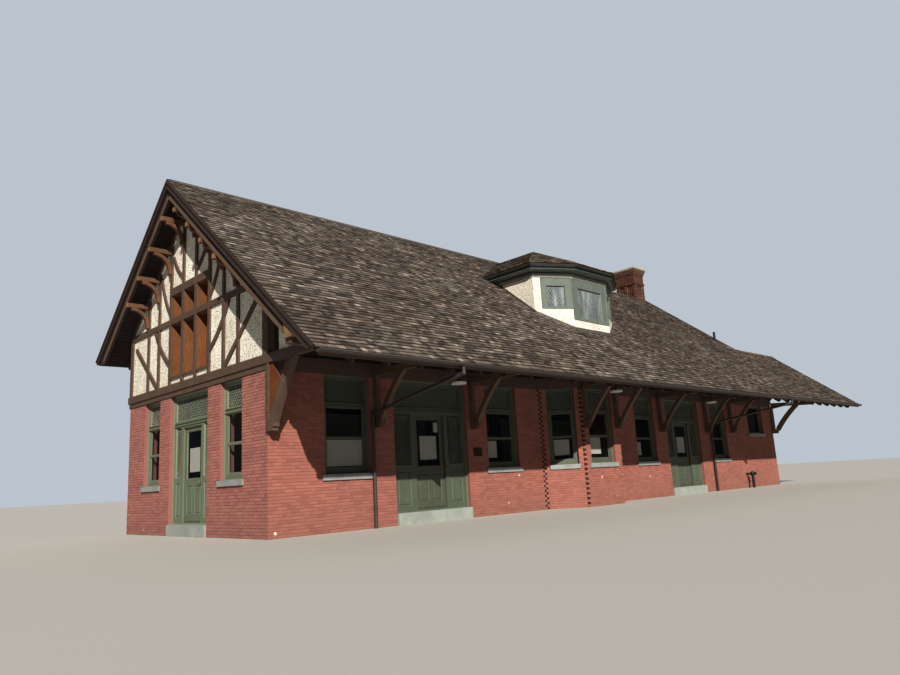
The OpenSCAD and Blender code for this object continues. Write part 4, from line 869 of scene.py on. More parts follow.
def dormer_faces():
    """The dormer's left cant, front and right cant, each with its frame and its light."""
    (x, y), (along, back) = DORMER, CANT
    frame, light = (0.01, 1.06, CANT_FRAME_Z, DORMER_HEAD), (0.25, 0.86, 6.05, 6.725)
    turned = [(CANT_RUN - b, CANT_RUN - a, c, d) for a, b, c, d in (frame, light)]
    return [
        (Face((x - DORMER_SIDE, y + back, 0), (along, -back, 0)), *turned),
        (on_front(x, y), (-0.91, 0.91, FRONT_FRAME_Z, DORMER_HEAD), (-0.64, 0.64, 5.715, 6.705)),
        (Face((x + DORMER_HALF, y, 0), (along, back, 0)), frame, light),
    ]


def dormer_plan(grow, z):
    """The dormer's corners grown outwards, from its back left to its back right, at a height."""
    x, y = DORMER
    half, side = DORMER_HALF + grow * 0.2524, DORMER_SIDE + grow
    cant, back = y + CANT[1] - grow * 0.597, RIDGE_Y - (RIDGE_Z - z) / PITCH
    return [(x - side, back, z), (x - side, cant, z), (x - half, y - grow, z),
            (x + half, y - grow, z), (x + side, cant, z), (x + side, back, z)]


def stack_plan():
    """The chimney's stack without its cap: left, front, right and back."""
    low, high = local_box("chimney")
    return low[0] + STACK_OUT, low[1] + STACK_OUT, high[0] - STACK_OUT, high[1] - STACK_OUT


def lay_boards(pile, sizes, face, top, stretches):
    """Boards along a soffit, up to a height up its slope. stretches gives what to cover there."""
    wide = sizes.soffit_board
    for row in range(int(top / wide) + 1):
        v0, v1 = row * wide, min((row + 1) * wide, top)
        if v1 - v0 < 0.02:
            continue
        for a, b in stretches((v0 + v1) / 2):
            cuts = [a, *np.arange(a + rng.uniform(1.2, 4.0), b - 0.5, 4.2), b]
            boxes = in_row(cuts, 0.001, v0 + 0.003, v1 - 0.003)
            blocks(pile, face, boxes, -0.002, 0.008, 0.003)


def field(pile, face, box, sunk, proud):
    """A raised field with bevelled edges inside a sunk panel, and a bead round it."""
    l, r, b, t = box
    rim(pile, face, box, 0.018, sunk + 0.001, proud)
    inset = (l + 0.03, r - 0.03, b + 0.03, t - 0.03)
    blocks(pile, face, [inset], sunk - 0.001, proud - 0.004, 0.02)


# Operators


class STATION_OT_finishes(bpy.types.Operator):
    """Makes the finishes and puts each on the frame's material slots"""

    bl_idname = "station.finishes"
    bl_label = "Finishes"

    def execute(self, context):
        make_finishes(context.scene.station_colours)
        for name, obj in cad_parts.items():
            for slot in obj.material_slots:
                base = slot.material.name.split(".")[0]
                wanted = NODE_FINISH.get(name) or SLOT_FINISH.get(base)
                if wanted is None:
                    raise ValueError(f"no finish for slot {base} of {name}")
                slot.material = bpy.data.materials[wanted]
        return {"FINISHED"}


class STATION_OT_bricks(bpy.types.Operator):
    """Lays the bricks of the four sides, the bay and the openings' returns"""

    bl_idname = "station.bricks"
    bl_label = "Brickwork"

    def execute(self, context):
        s = context.scene.station_sizes
        top = BRICK_H
        front, notch = Pile(), 0.06
        room = 1.4 * notch
        holes = [(a, b, SILL_Z, OPEN_TOP) for a, b in FRONT_WINDOWS]
        holes += [(a, b, 0, OPEN_TOP) for a, b in FRONT_DOORS]
        holes.append((*SMALL_WINDOW, SMALL_Z, OPEN_TOP))
        lay_bricks(front, s, on_front(0), 0, BAY_X0, top, holes, ((0, 0), (0, room)))
        lay_bricks(front, s, on_front(0), BAY_X1, WALL_L, top, holes, ((0, room), (0, 0)))
        reveals(front, s, on_front(0), holes, top)
        front.build("front_bricks", "painted_brick_front", "front_brick")
        # The bay's corners are toothed: square-ended bricks run past them, by turns from one face
        # and the other. The near-black plates in the notches between are painted shade: the deep
        # shadow in those pigeonholes.
        bay, teeth, notch_shade, course = Pile(), Pile(), Pile(), s.brick_course
        rows = np.arange(int(round(top / course)))

        def at_corner(pile, face, l, r, odd, back, proud):
            z = rows[rows % 2 == odd] * course
            boxes = [(l, r, a + s.joint / 2, a + course - s.joint / 2) for a in z]
            blocks(pile, face, boxes, back, proud, 0.002, CLOSED)

        for i, (face, run, window) in enumerate(bay_faces()):
            short = ((0, notch), (notch, 0)) if i else ((notch, 0), (0, notch))
            lay_bricks(bay, s, face, 0.0, run, top, [(*window, SILL_Z, OPEN_TOP)], short)
            for end, past, hollow in ((0, (-0.045, 0.09), (0.0, notch)),
                                      (1, (run - 0.09, run + 0.045), (run - notch, run))):
                full = 1 - short[end].index(notch)
                if (i, end) not in ((0, 0), (2, 1)):
                    at_corner(teeth, face, *past, full, -0.06, 0.01)
                at_corner(notch_shade, face, *hollow, 1 - full, -0.001, 0.001)
        # Painted shade in the notches of the front wall beside the bay
        for face, l in ((on_front(BAY_X0), -room), (on_front(BAY_X1), 0.0)):
            at_corner(notch_shade, face, l, l + room, 1, -0.001, 0.001)
        teeth.build("bay_teeth", "painted_brick_front", "front_brick")
        notch_shade.build("bay_notches", "painted_shade_notch_mortar", "front_brick")
        for face, _, window in bay_faces():
            reveals(bay, s, face, [(*window, SILL_Z, OPEN_TOP)], top)
        bay.build("bay_bricks", "painted_brick_front", "front_brick")
        gable, face = Pile(), on_gable(WALL_D)
        holes = [(WALL_D - b, WALL_D - a, SILL_Z, OPEN_TOP) for a, b in GABLE_WINDOWS]
        holes.append((WALL_D - GABLE_DOOR[1], WALL_D - GABLE_DOOR[0], 0, OPEN_TOP))
        lay_bricks(gable, s, face, 0, WALL_D, top, holes)
        reveals(gable, s, face, holes, top)
        gable.build("gable_bricks", "painted_brick_gable", "gable_brick")
        rear, face = Pile(), on_back(MAIN_END)
        holes = [(MAIN_END - b, MAIN_END - a, SILL_Z, OPEN_TOP) for a, b in REAR_WINDOWS]
        lay_bricks(rear, s, face, 0, MAIN_END, top, holes)
        reveals(rear, s, face, holes, top)
        face = on_end(WING_D, MAIN_END)
        holes = [(END_WINDOW[0] - WING_D, END_WINDOW[1] - WING_D, SILL_Z, OPEN_TOP)]
        lay_bricks(rear, s, face, 0, WALL_D - WING_D, top, holes)
        reveals(rear, s, face, holes, top)
        lay_bricks(rear, s, on_back(WALL_L, WING_D), 0, WALL_L - MAIN_END, top)
        lay_bricks(rear, s, on_end(0, WALL_L), 0, WING_D, top)
        rear.build("rear_bricks", "painted_brick_front", "front_brick")
        return {"FINISHED"}


class STATION_OT_stack_bricks(bpy.types.Operator):
    """Lays the bricks of the chimney, its sunk panels and its corbelled head"""

    bl_idname = "station.stack_bricks"
    bl_label = "Chimney Brickwork"

    def execute(self, context):
        x0, y0, x1, y1 = stack_plan()
        course, edge, deep, stretcher = 0.07, 0.15, 0.03, 0.21
        head = local_box("chimney")[1][2] + course
        # Each band of courses: its foot, its head and how far it stands out
        bands = [(head - 0.78 - 14 * course, head - 0.78, 0), (head - 0.78, head - 0.71, 0.035),
                 (head - 0.7, head - 0.35, 0)]
        bands += [(head - 0.35 + course * i, head - 0.28 + course * i, 0.02 + 0.025 * i)
                  for i in range(4)]
        panel = (RIDGE_Z - 0.15, head - 0.82)
        pile = Pile()
        for z0, z1, g in bands:
            wide, narrow = x1 - x0 + 2 * g, y1 - y0 + 2 * g
            for face, run in (
                (on_front(x0 - g, y0 - g), wide), (on_back(x1 + g, y1 + g), wide),
                (on_gable(y1 + g, x0 - g), narrow), (on_end(y0 - g, x1 + g), narrow),
            ):
                # Two sunk panels in a wide side, one in a narrow side
                pair = run > 0.9
                w = (run - 3 * edge) / 2 if pair else run - 2 * edge
                panels = [(edge, edge + w)] + ([(run - edge - w, run - edge)] if pair else [])
                for i in range(int(round((z1 - z0) / course))):
                    z = z0 + i * course
                    cuts = panels if g == 0 and panel[0] < z + course / 2 < panel[1] else ()
                    for depth, parts in ((0, gaps(0, run, cuts)), (-deep, cuts)):
                        for a, b in parts:
                            n = max(1, round((b - a) / (stretcher / 2 if i % 2 else stretcher)))
                            e = np.linspace(a, b, n + 1)
                            boxes = in_row(e, 0.004, z + 0.005, z + course - 0.005)
                            proud = depth + 0.006 + rng.normal(0, 0.001, len(boxes))
                            blocks(pile, face, boxes, depth - 0.002, proud, 0.003)
        pile.build("chimney_bricks", "bare_brick_stack", "chimney_brick")
        return {"FINISHED"}


class STATION_OT_shingles(bpy.types.Operator):
    """Lays the shingles of every slope, the caps of the wing's ridge and the rolls of the hips"""

    bl_idname = "station.shingles"
    bl_label = "Shingles"

    def execute(self, context):
        s = context.scene.station_sizes
        # The shingles run a little past the verge, and up to the stack under the edge of its cap
        low_x = VERGE_X - 0.012
        dx, dy = DORMER
        stack, tuck = local_box("chimney"), 0.09

        def dormer_gap(v):
            y = EAVE_Y + v / SLOPE
            if not dy - 0.02 < y < 1.9:
                near = y > stack[0][1] + 0.08
                return [(stack[0][0] + tuck - low_x, stack[1][0] - tuck - low_x)] if near else []
            half = DORMER_HALF + min(1.0, (y - dy) / CANT[1]) * CANT[0]
            return [(dx - half - low_x, dx + half - low_x)]

        def stack_gap(v):
            near = BACK_EAVE_Y - v / SLOPE < stack[1][1] - 0.08
            gap = (MAIN_EAVE_X - stack[1][0] + tuck, MAIN_EAVE_X - stack[0][0] - tuck)
            return [gap] if near else []

        front, heads, back = Pile(), Pile(), Pile()
        ridge, hip = (RIDGE_END_X, RIDGE_Y, RIDGE_Z), (WING_RIDGE[0], WING_RIDGE[2], WING_RIDGE_Z)
        wing_end = (WING_RIDGE[1], WING_RIDGE[2], WING_RIDGE_Z)
        eave = (MAIN_EAVE_X, BACK_EAVE_Y, BACK_EAVE_Z)
        lay_shingles(front, heads, s, [
            (low_x, EAVE_Y, EAVE_Z), (CORNER_X, EAVE_Y, EAVE_Z), wing_end, hip, ridge,
            (low_x, RIDGE_Y, RIDGE_Z)], dormer_gap)
        front.build("front_shingles", "split_shingles", "shingles")
        lay_shingles(back, heads, s, [
            eave, (low_x, BACK_EAVE_Y, BACK_EAVE_Z), (low_x, RIDGE_Y, RIDGE_Z), ridge], stack_gap)
        valley_y = WING_RIDGE[2] + (WING_RIDGE_Z - BACK_EAVE_Z) / PITCH
        valley = (MAIN_EAVE_X, valley_y, BACK_EAVE_Z)
        lay_shingles(back, heads, s, [valley, eave, ridge, hip])
        lay_shingles(back, heads, s, [
            (CORNER_X, WING_BACK_Y, EAVE_Z), (MAIN_END + 0.02, WING_BACK_Y, EAVE_Z),
            (MAIN_END, valley_y + 0.2, WING_RIDGE_Z - PITCH * (valley_y + 0.2 - WING_RIDGE[2])),
            valley, hip, wing_end])
        # Shingle caps hide the sheet on the wing's ridge
        steps = np.arange(0, WING_RIDGE[1] - WING_RIDGE[0] - 0.1, 0.14)
        caps = [(x, x + 0.17, -0.19, 0.0) for x in steps]
        for x, way in ((WING_RIDGE[0] + 0.1, 1), (WING_RIDGE[1] + 0.07, -1)):
            face = Face((x, WING_RIDGE[2], WING_RIDGE_Z + 0.03), (way, 0, 0), (0, way, PITCH))
            blocks(back, face, caps, -0.006, 0.006)
        back.build("rear_shingles", "split_shingles", "shingles")
        # The dormer's five slopes meet in a point; its sides run back into the main slope
        small, peak, eave_z, rise = Pile(), 8.6, 7.4, 0.27
        fx, cx = 1.018, 2.37
        fy, cy = dy - rise, dy + CANT[1] - rise * math.tan(math.radians(30.83))
        side_y, back_y = ((z - RIDGE_Z) / PITCH + RIDGE_Y for z in (eave_z, peak))
        tip, end = (dx, 1.73, peak), (dx, back_y, peak)
        a, b, c, d, e, f = ((dx + x, y, eave_z) for x, y in (
            (-cx, side_y), (-cx, cy), (-fx, fy), (fx, fy), (cx, cy), (cx, side_y)))
        for corners in ((c, d, tip), (d, e, tip), (b, c, tip), (e, f, end, tip), (a, b, tip, end)):
            lay_shingles(small, heads, s, corners)
        small.build("dormer_shingles", "split_shingles", "shingles")
        # The dark lines below the butts: painted shadow with dirt
        heads.build("shingle_shadow_and_dirt_lines", "shadow_and_dirt_shingle_heads", "shingles")
        rolls = Pile()
        for start_at, end_at, radius, lift in (
            (c, tip, 0.022, 0.012), (d, tip, 0.022, 0.012), (b, tip, 0.022, 0.012),
            (e, tip, 0.022, 0.012), (tip, end, 0.025, 0.012), (hip, ridge, 0.03, 0.01),
            (eave, ridge, 0.03, 0.01),
        ):
            up = np.array((0, 0, lift))
            tube(rolls, start_at + up, end_at + up, radius)
        rolls.build("hip_rolls", "split_shingles", "shingles", smooth=True)
        return {"FINISHED"}


class STATION_OT_eaves(bpy.types.Operator):
    """Lays the boards under the eaves, the fascias, the verge mouldings and the gutters' lips"""

    bl_idname = "station.eaves"
    bl_label = "Eaves and Verges"

    def execute(self, context):
        s = context.scene.station_sizes
        soffit, trim, dark = Pile(), Pile(), Pile()
        left, low = VERGE_X + 0.06, EAVE_Z - ROOF_T

        def under_front(v):
            y = EAVE_Y + v / SLOPE
            first = CORNER_RUN * (y - EAVE_Y) + 0.01
            if y < 0:
                return [(first, CORNER_X - left)]
            wing = [(first, CORNER_X - WALL_L - 0.06)] if y < WING_RIDGE[2] else []
            return wing + [(CORNER_X, CORNER_X - left)]

        def under_back(v):
            y = BACK_EAVE_Y - v / SLOPE
            return [(0, -left if y < WALL_D else RIDGE_END_X + HIP_RUN * (y - RIDGE_Y) - left)]

        def under_wing(v):
            y = WING_BACK_Y - v / SLOPE
            last = CORNER_X - CORNER_RUN * (WING_BACK_Y - y) - MAIN_END - 0.01
            return [(0.02 if y > WING_D else WALL_L + 0.06 - MAIN_END, last)]

        lay_boards(soffit, s, Face((CORNER_X, EAVE_Y, low), (-1, 0, 0), (0, 1, PITCH)),
                   (RIDGE_Y - EAVE_Y) * SLOPE, under_front)
        back_face = Face((left, BACK_EAVE_Y, BACK_EAVE_Z - ROOF_T), (1, 0, 0), (0, -1, PITCH))
        lay_boards(soffit, s, back_face, (BACK_EAVE_Y - RIDGE_Y) * SLOPE, under_back)
        lay_boards(soffit, s, Face((MAIN_END, WING_BACK_Y, low), (1, 0, 0), (0, -1, PITCH)),
                   (WING_BACK_Y - WING_RIDGE[2]) * SLOPE, under_wing)
        soffit.build("soffit_boards", "soffit_pine_boards", "dark_timber")
        for face, run, z in (
            (on_front(left, EAVE_Y), CORNER_X - left, EAVE_Z),
            (on_back(MAIN_EAVE_X, BACK_EAVE_Y), MAIN_EAVE_X - left, BACK_EAVE_Z),
            (on_back(CORNER_X, WING_BACK_Y), CORNER_X - MAIN_END - 0.02, EAVE_Z),
        ):
            blocks(trim, face, [(0, run, z - ROOF_T - 0.012, z - 0.01)], 0, 0.008, 0.003, CLOSED)
        up, drop, ease = (0, 0, 1), 0.17, 0.004
        top = (WING_RIDGE[1], WING_RIDGE[2], WING_RIDGE_Z - drop)
        near, far = ((CORNER_X, y, EAVE_Z - drop) for y in (EAVE_Y, WING_BACK_Y))
        strips(trim, [near, top, far], up, 0.14, 0.03, ease)
        # A crown along the top of the outer board, a bead along its foot, and a strip in the
        # lighter bracket paint on the inner board: painted highlight, the light line along that
        # board's lit lower edge
        for pile, drop, wide, deep, x in (
            (dark, 0.1, 0.055, 0.028, VERGE_X), (dark, 0.25, 0.022, 0.014, VERGE_X),
            (trim, 0.52, 0.11, 0.012, left),
        ):
            # The inner board stops short of both eaves
            foot, back = -1.7, BACK_EAVE_Y - 0.45
            if x == VERGE_X:
                foot = EAVE_Y + (drop - 0.01) / PITCH
                back = BACK_EAVE_Y - max(0.0, drop - 0.15) / PITCH
            top = (x, RIDGE_Y, RIDGE_Z - drop)
            near = (x, foot, EAVE_Z + PITCH * (foot - EAVE_Y) - drop)
            far = (x, back, RIDGE_Z - PITCH * (back - RIDGE_Y) - drop)
            for a, b in ((top, near), (far, top)):
                strip(pile, a, b, up, wide, deep, ease)
        trim.build("eave_trim", "painted_fir_brackets", "dark_timber")
        dark.build("verge_crown", "painted_fir_eaves", "dark_timber")
        # The gutters' outer edges, and the straps that hold the front one
        lip = Pile()
        r, fall = 0.065, 0.06
        z = EAVE_Z - fall
        tube(lip, (VERGE_X, EAVE_Y - 2 * r, z), (CORNER_X + 0.1, EAVE_Y - 2 * r, z), 0.01)
        tube(lip, (left, BACK_EAVE_Y + 2 * r, BACK_EAVE_Z - fall),
             (MAIN_EAVE_X, BACK_EAVE_Y + 2 * r, BACK_EAVE_Z - fall), 0.01)
        for x in np.arange(left + 0.4, CORNER_X, 0.85):
            strip(lip, (x, EAVE_Y - 2 * r, z + 0.004), (x, EAVE_Y, z + 0.03), (1, 0, 0), 0.025,
                  0.004)
        lip.build("gutter_lips", "painted_sheet_gutter", "gutter_metal", smooth=True)
        # The sawn ends of the verge brackets, by their distance from the ridge
        ends = Pile()
        for u in (0.37, 1.115, 1.85, 2.55):
            for side in (-1, 1):
                y = RIDGE_Y + side * u
                z = RIDGE_Z - PITCH * (u + 0.055) - 0.521
                blocks(ends, on_gable(y + 0.055, -0.64), [(0.004, 0.106, z - 0.111, z - 0.004)],
                       0, 0.004, 0.003)
        # The sawn end of the beam that carries the rafters shows below the verge board. Only a pale
        # triangle of it is built, painted light: the sunlit part of that end beside the verge's
        # shadow.
        face = on_gable(0, -0.54)
        u, v = np.array([(2.1, 3.72), (1.78, 3.7), (1.74, 3.97)]).T
        ends.add(np.concatenate([face.at(u, v, 0.0), face.at(u, v, 0.125)])[None],
                 [(3, 4, 5), (2, 1, 0), (0, 1, 4, 3), (1, 2, 5, 4), (2, 0, 3, 5)])
        ends.build("sawn_ends_and_painted_light", "painted_fir_end_grain", "beam_timber")
        return {"FINISHED"}


class STATION_OT_gable(bpy.types.Operator):
    """Boards the gable's recesses, lines the corner bracket and sets the pegs of the framing"""

    bl_idname = "station.gable"
    bl_label = "Gable Boards and Pegs"

    def execute(self, context):
        boards, pegs = Pile(), Pile()
        sheet_x = local_box("gable_boards")[1][0] - 0.025
        board_w = 0.15
        for low, high in RECESS_ROWS:
            for a, b in RECESS_COLUMNS:
                edges = np.linspace(a, b, round((b - a) / board_w) + 1)
                boxes = in_row(edges, 0.002, low, high)
                blocks(boards, on_gable(RIDGE_Y, sheet_x), boxes, -0.001, 0.03, 0.005)
        # The curved board between the post and the brace of the corner bracket, on both its sides
        outline = [(-0.09, 2.34), (-0.09, 3.56), (-0.17, 3.545), (-0.27, 3.495), (-0.37, 3.385),
                   (-0.45, 3.265), (-0.53, 3.135), (-0.56, 3.075), (-0.23, 2.34)]
        for x, order in ((-0.012, 1), (0.0305, -1)):
            flat = [np.array((x, y, z)) + ORIGIN for y, z in outline][::order]
            lifted = [q + np.array((-0.0015 * order, 0, 0)) for q in flat]
            n = len(flat)
            sides = [tuple(range(n, 2 * n))[::-1], tuple(range(n))]
            boards.add(np.array(flat + lifted)[None], sides)
        boards.build("gable_lining_boards", "stained_cedar_lining", "louvre_boards")
        posts = (0.075, 1.25, 1.95, 2.685, 3.43, 4.17, 4.915, 5.65, 6.35, 7.525)
        for y in posts:
            for z in (5.37, 5.44):
                if abs(y - RIDGE_Y) < (RIDGE_Z - 0.3 - z) / PITCH:
                    domes(pegs, on_gable(y, -0.045), [(0, z)], 0.012, 0.008)
        for y in posts[3:7]:
            domes(pegs, on_gable(y, -0.045), [(0, 6.16), (0, 6.26)], 0.012, 0.008)
        bolts = [(0.93, 3.42), (0.7, 3.1), (0.05, 2.6), (0.05, 3.2)]
        domes(pegs, on_gable(0, -0.06), bolts, 0.018, 0.012)
        for x in np.arange(0.4, WALL_L, 1.5):
            domes(pegs, on_front(x, -0.06), [(0, 3.66)], 0.014, 0.01)
        pegs.build("oak_pegs", "oak_peg", "beam_timber", smooth=True)
        return {"FINISHED"}


class STATION_OT_windows(bpy.types.Operator):
    """Leads the small panes and fits the beads and drips of every window and door frame"""

    bl_idname = "station.windows"
    bl_label = "Leaded Lights and Beads"

    def execute(self, context):
        s = context.scene.station_sizes
        leads, beads, dormer_beads = Pile(), Pile(), Pile()
        head = BRICK_H - 0.001
        for face, w, foot in windows():
            rim(beads, face, (0, w, foot, head), 0.03, FRAME_FACE, -0.088)
            if foot > MEETING[0]:
                pane = (FRAME_W, w - FRAME_W, foot + FRAME_W, head - FRAME_W)
                rim(beads, face, pane, 0.016, LIGHT_FACE, BEAD_FACE)
                continue
            light = (FRAME_W, w - FRAME_W, TRANSOM[1], head - FRAME_W)
            lattice(leads, s, face, light, LEAD_BACK, LIGHT_FACE)
            rim(beads, face, light, 0.016, LIGHT_FACE, BEAD_FACE)
            for z0, z1 in ((foot + 0.15, MEETING[0]), (MEETING[1], TRANSOM[0])):
                sash = (FRAME_W + 0.045, w - FRAME_W - 0.045, z0, z1)
                rim(beads, face, sash, 0.014, -0.153, -0.14)
            drips = [(0.02, w - 0.02, TRANSOM[0] + 0.01, TRANSOM[0] + 0.04),
                     (0.02, w - 0.02, TRANSOM[1] - 0.03, TRANSOM[1] - 0.015)]
            blocks(beads, face, drips, FRAME_FACE, DRIP_FACE, 0.006, CLOSED)
        for _, face, w, side in doors():
            jamb, rail = 0.09, 0.05
            rim(beads, face, (0, w, FLOOR_Z, head), 0.034, FRAME_FACE, DRIP_FACE)
            sides = [(a, a + side, 1.38, 2.63) for a in (jamb, w - jamb - side)]
            for light in (*sides, (jamb, w - jamb, 2.78, 3.34)):
                lattice(leads, s, face, light, LEAD_BACK, LIGHT_FACE)
                rim(beads, face, light, 0.018, LIGHT_FACE, -0.118)
                # The panel below a side light
                if light in sides:
                    panel = (light[0] + rail, light[1] - rail, 0.42, 1.25)
                    field(beads, face, panel, -0.13, -0.112)
            blocks(beads, face, [(0.03, w - 0.03, 2.65, 2.68), (0.03, w - 0.03, 2.72, 2.735)],
                   FRAME_FACE, DRIP_FACE, 0.006, CLOSED)
        for face, frame, light in dormer_faces():
            lattice(leads, s, face, light, -0.045, -0.04, 1.2)
            rim(dormer_beads, face, light, 0.02, -0.035, -0.012)
            rim(dormer_beads, face, frame, 0.035, -0.001, 0.016)
        # Boards that carry the frames round the dormer's corners
        left, front, right = (f[0] for f in dormer_faces())
        for face, low, spans in (
            (front, FRONT_FRAME_Z, ((-0.96, -0.9), (0.9, 0.96))),
            (left, CANT_FRAME_Z, ((CANT_RUN - 0.03, CANT_RUN + 0.004),)),
            (right, CANT_FRAME_Z, ((-0.004, 0.03),)),
        ):
            boxes = [(a, b, low, DORMER_HEAD) for a, b in spans]
            blocks(dormer_beads, face, boxes, -0.001, 0.014, 0.003)
        leads.build("leads", "lead_came", "window_glass")
        beads.build("frame_beads", "oil_paint_sage", "sage_paint")
        dormer_beads.build("dormer_beads", "oil_paint_dormer", "sage_paint")
        return {"FINISHED"}


class STATION_OT_doors(bpy.types.Operator):
    """Fits the panels, beads and brass plates of the door leaves"""

    bl_idname = "station.doors"
    bl_label = "Door Fittings"

    def execute(self, context):
        for name, face, w, _ in doors():
            joinery, plates = Pile(), Pile()
            u = (w - LEAF_W) / 2
            # Round the glass, then two panels, the weather board and the brass push plate
            rim(joinery, face, (u + 0.12, u + 0.88, 1.34, 2.49), 0.018, -0.178, LEAF_BEAD)
            for a in (u + 0.12, u + 0.56):
                field(joinery, face, (a, a + 0.32, 0.502, 1.18), -0.171, LEAF_BEAD)
            blocks(joinery, face, [(u + 0.03, u + 0.97, 0.34, 0.375)], LEAF_FACE, -0.148, 0.008,
                   CLOSED)
            gloss = "oil_paint_gable_door" if name == "gable_door" else "oil_paint_doors"
            joinery.build(name + "_joinery", gloss, "door_paint", name)
            blocks(plates, face, [(u + 0.915, u + 0.965, 1.13, 1.37)], LEAF_FACE, LEAF_BEAD, 0.002,
                   CLOSED)
            domes(plates, face, [(u + 0.94, 1.15), (u + 0.94, 1.35)], 0.004, -0.153)
            plates.build(name + "_plates", "lacquered_brass", "plaque_bronze", name)
        return {"FINISHED"}


class STATION_OT_sheets(bpy.types.Operator):
    """Hangs the bare paper sheets behind the panes"""

    bl_idname = "station.sheets"
    bl_label = "Bare Sheets"

    def execute(self, context):
        on_walls = Pile()
        faces = windows()
        # The window's place in the list above, and the sheet's left, right, low and high
        for index, box in ((0, (0.13, 1.12, 1.4, 1.98)), (1, (0.14, 0.52, 1.5, 1.95)),
                           (5, (0.15, 0.6, 1.5, 1.95)), (6, (0.2, 0.75, 1.5, 1.98)),
                           (2, (0.15, 0.5, 1.45, 1.9)), (3, (0.14, 0.4, 1.5, 1.9))):
            blocks(on_walls, faces[index][0], [box], -0.164, -0.1625, 0, CLOSED)
        on_walls.build("window_sheets", "plain_paper", "lamp_white")
        for name, face, w, _ in doors():
            u = (w - LEAF_W) / 2
            sheet = Pile()
            boxes = [(u + 0.22, u + 0.78, 1.5, 2.08)]
            if name == "left_door":
                boxes.append((u + 0.7, u + 0.85, 2.17, 2.42))
            blocks(sheet, face, boxes, -0.189, -0.1875, 0, CLOSED)
            sheet.build(name + "_sheet", "plain_paper", "lamp_white", name)
        return {"FINISHED"}


class STATION_OT_dormer(bpy.types.Operator):
    """Fits the dormer's cornice mouldings and soffit, and the flashing of dormer and chimney"""

    bl_idname = "station.dormer"
    bl_label = "Dormer Trim"

    def execute(self, context):
        crown, bead, soffit, sheet = Pile(), Pile(), Pile(), Pile()
        up = (0, 0, 1)
        for pile, grow, z, wide, deep in (
            (crown, 0.24, 7.265, 0.055, 0.026), (bead, 0.24, 7.188, 0.02, 0.012),
            (bead, 0.03, 7.0, 0.02, 0.012), (crown, 0.03, 7.12, 0.03, 0.02),
        ):
            strips(pile, dormer_plan(grow, z), up, wide, deep, 0.003)
        inner, outer = dormer_plan(0.032, 7.186), dormer_plan(0.195, 7.186)
        for i in range(5):
            quad = [np.array(q) + ORIGIN for q in (inner[i], inner[i + 1], outer[i + 1], outer[i])]
            soffit.add(np.array(quad + [q + (0, 0, 0.005) for q in quad])[None],
                       [(0, 1, 2, 3), (7, 6, 5, 4), (3, 2, 6, 7), (1, 0, 4, 5)])
        # Sheet metal turned up the foot of the walls and laid on the shingles in front
        foot = [(x, y, RIDGE_Z - PITCH * (RIDGE_Y - y)) for x, y, _ in dormer_plan(0.0, 7.0)]
        strips(sheet, foot, up, 0.07, 0.005)
        right, left = (np.array(foot[i]) + (0, -0.01, 0.004) for i in (3, 2))
        strip(sheet, right, left, (0, -1, -PITCH), 0.11, 0.016)
        crown.build("dormer_crown", "gloss_paint_dormer", "dormer_green")
        bead.build("dormer_line", "oil_paint_dormer", "sage_paint")
        soffit.build("dormer_soffit", "oil_paint_soffit", "dormer_green")
        sheet.build("dormer_flashing", "galvanised_flashing", "ridge_metal")
        # Sheet metal round the foot of the stack, from slope to slope
        x0, y0, x1, y1 = stack_plan()
        z = RIDGE_Z - PITCH * (RIDGE_Y - y0)
        paths = [[(x0, y0, z), (x1, y0, z)], [(x1, y1, z), (x0, y1, z)]]
        paths += [[(x, y0, z), (x, RIDGE_Y, RIDGE_Z), (x, y1, z)][::way]
                  for x, way in ((x0, -1), (x1, 1))]
        base = Pile()
        for path in paths:
            strips(base, path, up, 0.12, 0.02)
        base.build("stack_flashing", "galvanised_flashing", "ridge_metal")
        return {"FINISHED"}


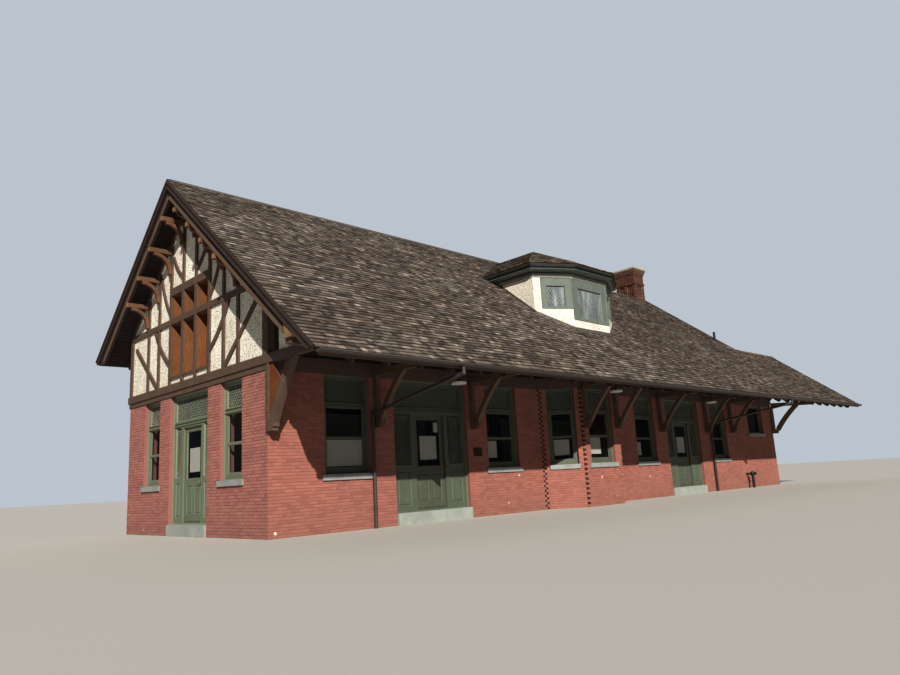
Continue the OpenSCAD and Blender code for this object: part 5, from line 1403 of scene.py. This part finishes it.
class STATION_OT_stage(bpy.types.Operator):
    """Makes the floor, the light and the camera"""

    bl_idname = "station.stage"
    bl_label = "Stage, Light and Camera"

    def execute(self, context):
        scene = context.scene
        mesh = bpy.data.meshes.new("floor")
        r, z = 400.0, -0.001
        mesh.from_pydata([(-r, -r, z), (r, -r, z), (r, r, z), (-r, r, z)], [], [(0, 1, 2, 3)])
        floor = bpy.data.objects.new("floor", mesh)
        scene.collection.objects.link(floor)
        pale = start("pale_floor")[0]
        mesh.materials.append(finish(pale, {"Base Color": srgb("#b3b2ae"), "Roughness": 0.9}))
        for name, energy, spread, tint, aim in (
            ("key", 6.2, 0.7, "#fff8ee", (0.645, 1.0, -0.74)),
            # A broad soft light from behind keeps the rear readable without reaching the front
            ("fill", 0.8, 70, "#e2e9f2", (-0.35, -0.85, -0.6)),
        ):
            sun = bpy.data.lights.new(name, "SUN")
            sun.energy, sun.angle, sun.color = energy, math.radians(spread), srgb(tint)
            lit = bpy.data.objects.new(name, sun)
            lit.rotation_euler = Vector(aim).to_track_quat("-Z", "Y").to_euler()
            scene.collection.objects.link(lit)
        world = bpy.data.worlds.new("studio")
        scene.world = world
        world.use_nodes = True
        # The backdrop is paler than the fill light that it sheds
        back = world.node_tree.nodes["Background"]
        node = partial(add, world.node_tree)
        tone = coat(node, shade(srgb("#cfd9e6"), 0.12),
                    ("MIX", node("LightPath").outputs["Is Camera Ray"], srgb("#c6cdd6")))
        world.node_tree.links.new(tone, back.inputs[0])
        back.inputs[1].default_value = 1.0
        scene.view_settings.view_transform = "Standard"
        scene.view_settings.gamma = 0.82
        # The fitted camera: its focal length, its three angles and its place
        camera = bpy.data.cameras.new("camera")
        focal_px, photo_px, sensor = 707.86, 900, 36.0
        camera.sensor_width, camera.sensor_fit = sensor, "HORIZONTAL"
        camera.lens = focal_px / photo_px * sensor
        camera.clip_end = 2000
        eye = bpy.data.objects.new("camera", camera)
        yaw, pitch, roll = 0.775623, 0.199680, -0.056092
        level = Vector((math.sin(yaw), math.cos(yaw), 0)) * math.cos(pitch)
        ahead = level + Vector((0, 0, math.sin(pitch)))
        right = Vector((math.cos(yaw), -math.sin(yaw), 0))
        up = right.cross(ahead)
        x = right * math.cos(roll) + up * math.sin(roll)
        y = up * math.cos(roll) - right * math.sin(roll)
        at = Vector(ORIGIN) + Vector((-7.45074, -13.06659, 0.94540))
        eye.matrix_world = Matrix.Translation(at) @ Matrix((x, y, -ahead)).transposed().to_4x4()
        scene.collection.objects.link(eye)
        scene.camera = eye
        return {"FINISHED"}


class STATION_PT_panel(bpy.types.Panel):
    """Lists the pieces, with their sizes and colours"""

    bl_idname = "STATION_PT_panel"
    bl_label = "Station Building"
    bl_space_type = "VIEW_3D"
    bl_region_type = "UI"
    bl_category = "Station"

    def draw(self, context):
        layout = self.layout
        for group in (context.scene.station_sizes, context.scene.station_colours):
            box = layout.box()
            for name in group.__annotations__:
                box.prop(group, name)
        for operator in OPERATORS:
            layout.operator(operator.bl_idname)


OPERATORS = (
    STATION_OT_stage,
    STATION_OT_finishes,
    STATION_OT_bricks,
    STATION_OT_stack_bricks,
    STATION_OT_shingles,
    STATION_OT_eaves,
    STATION_OT_gable,
    STATION_OT_windows,
    STATION_OT_doors,
    STATION_OT_sheets,
    STATION_OT_dormer,
)
CLASSES = (StationSizes, StationColours, *OPERATORS, STATION_PT_panel)


def register():
    for item in CLASSES:
        bpy.utils.register_class(item)
    bpy.types.Scene.station_sizes = PointerProperty(type=StationSizes)
    bpy.types.Scene.station_colours = PointerProperty(type=StationColours)


def unregister():
    del bpy.types.Scene.station_colours
    del bpy.types.Scene.station_sizes
    for item in reversed(CLASSES):
        bpy.utils.unregister_class(item)


def main():
    """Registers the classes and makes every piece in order."""
    register()
    for operator in OPERATORS:
        group, name = operator.bl_idname.split(".")
        getattr(getattr(bpy.ops, group), name)()


if __name__ == "__main__":
    main()
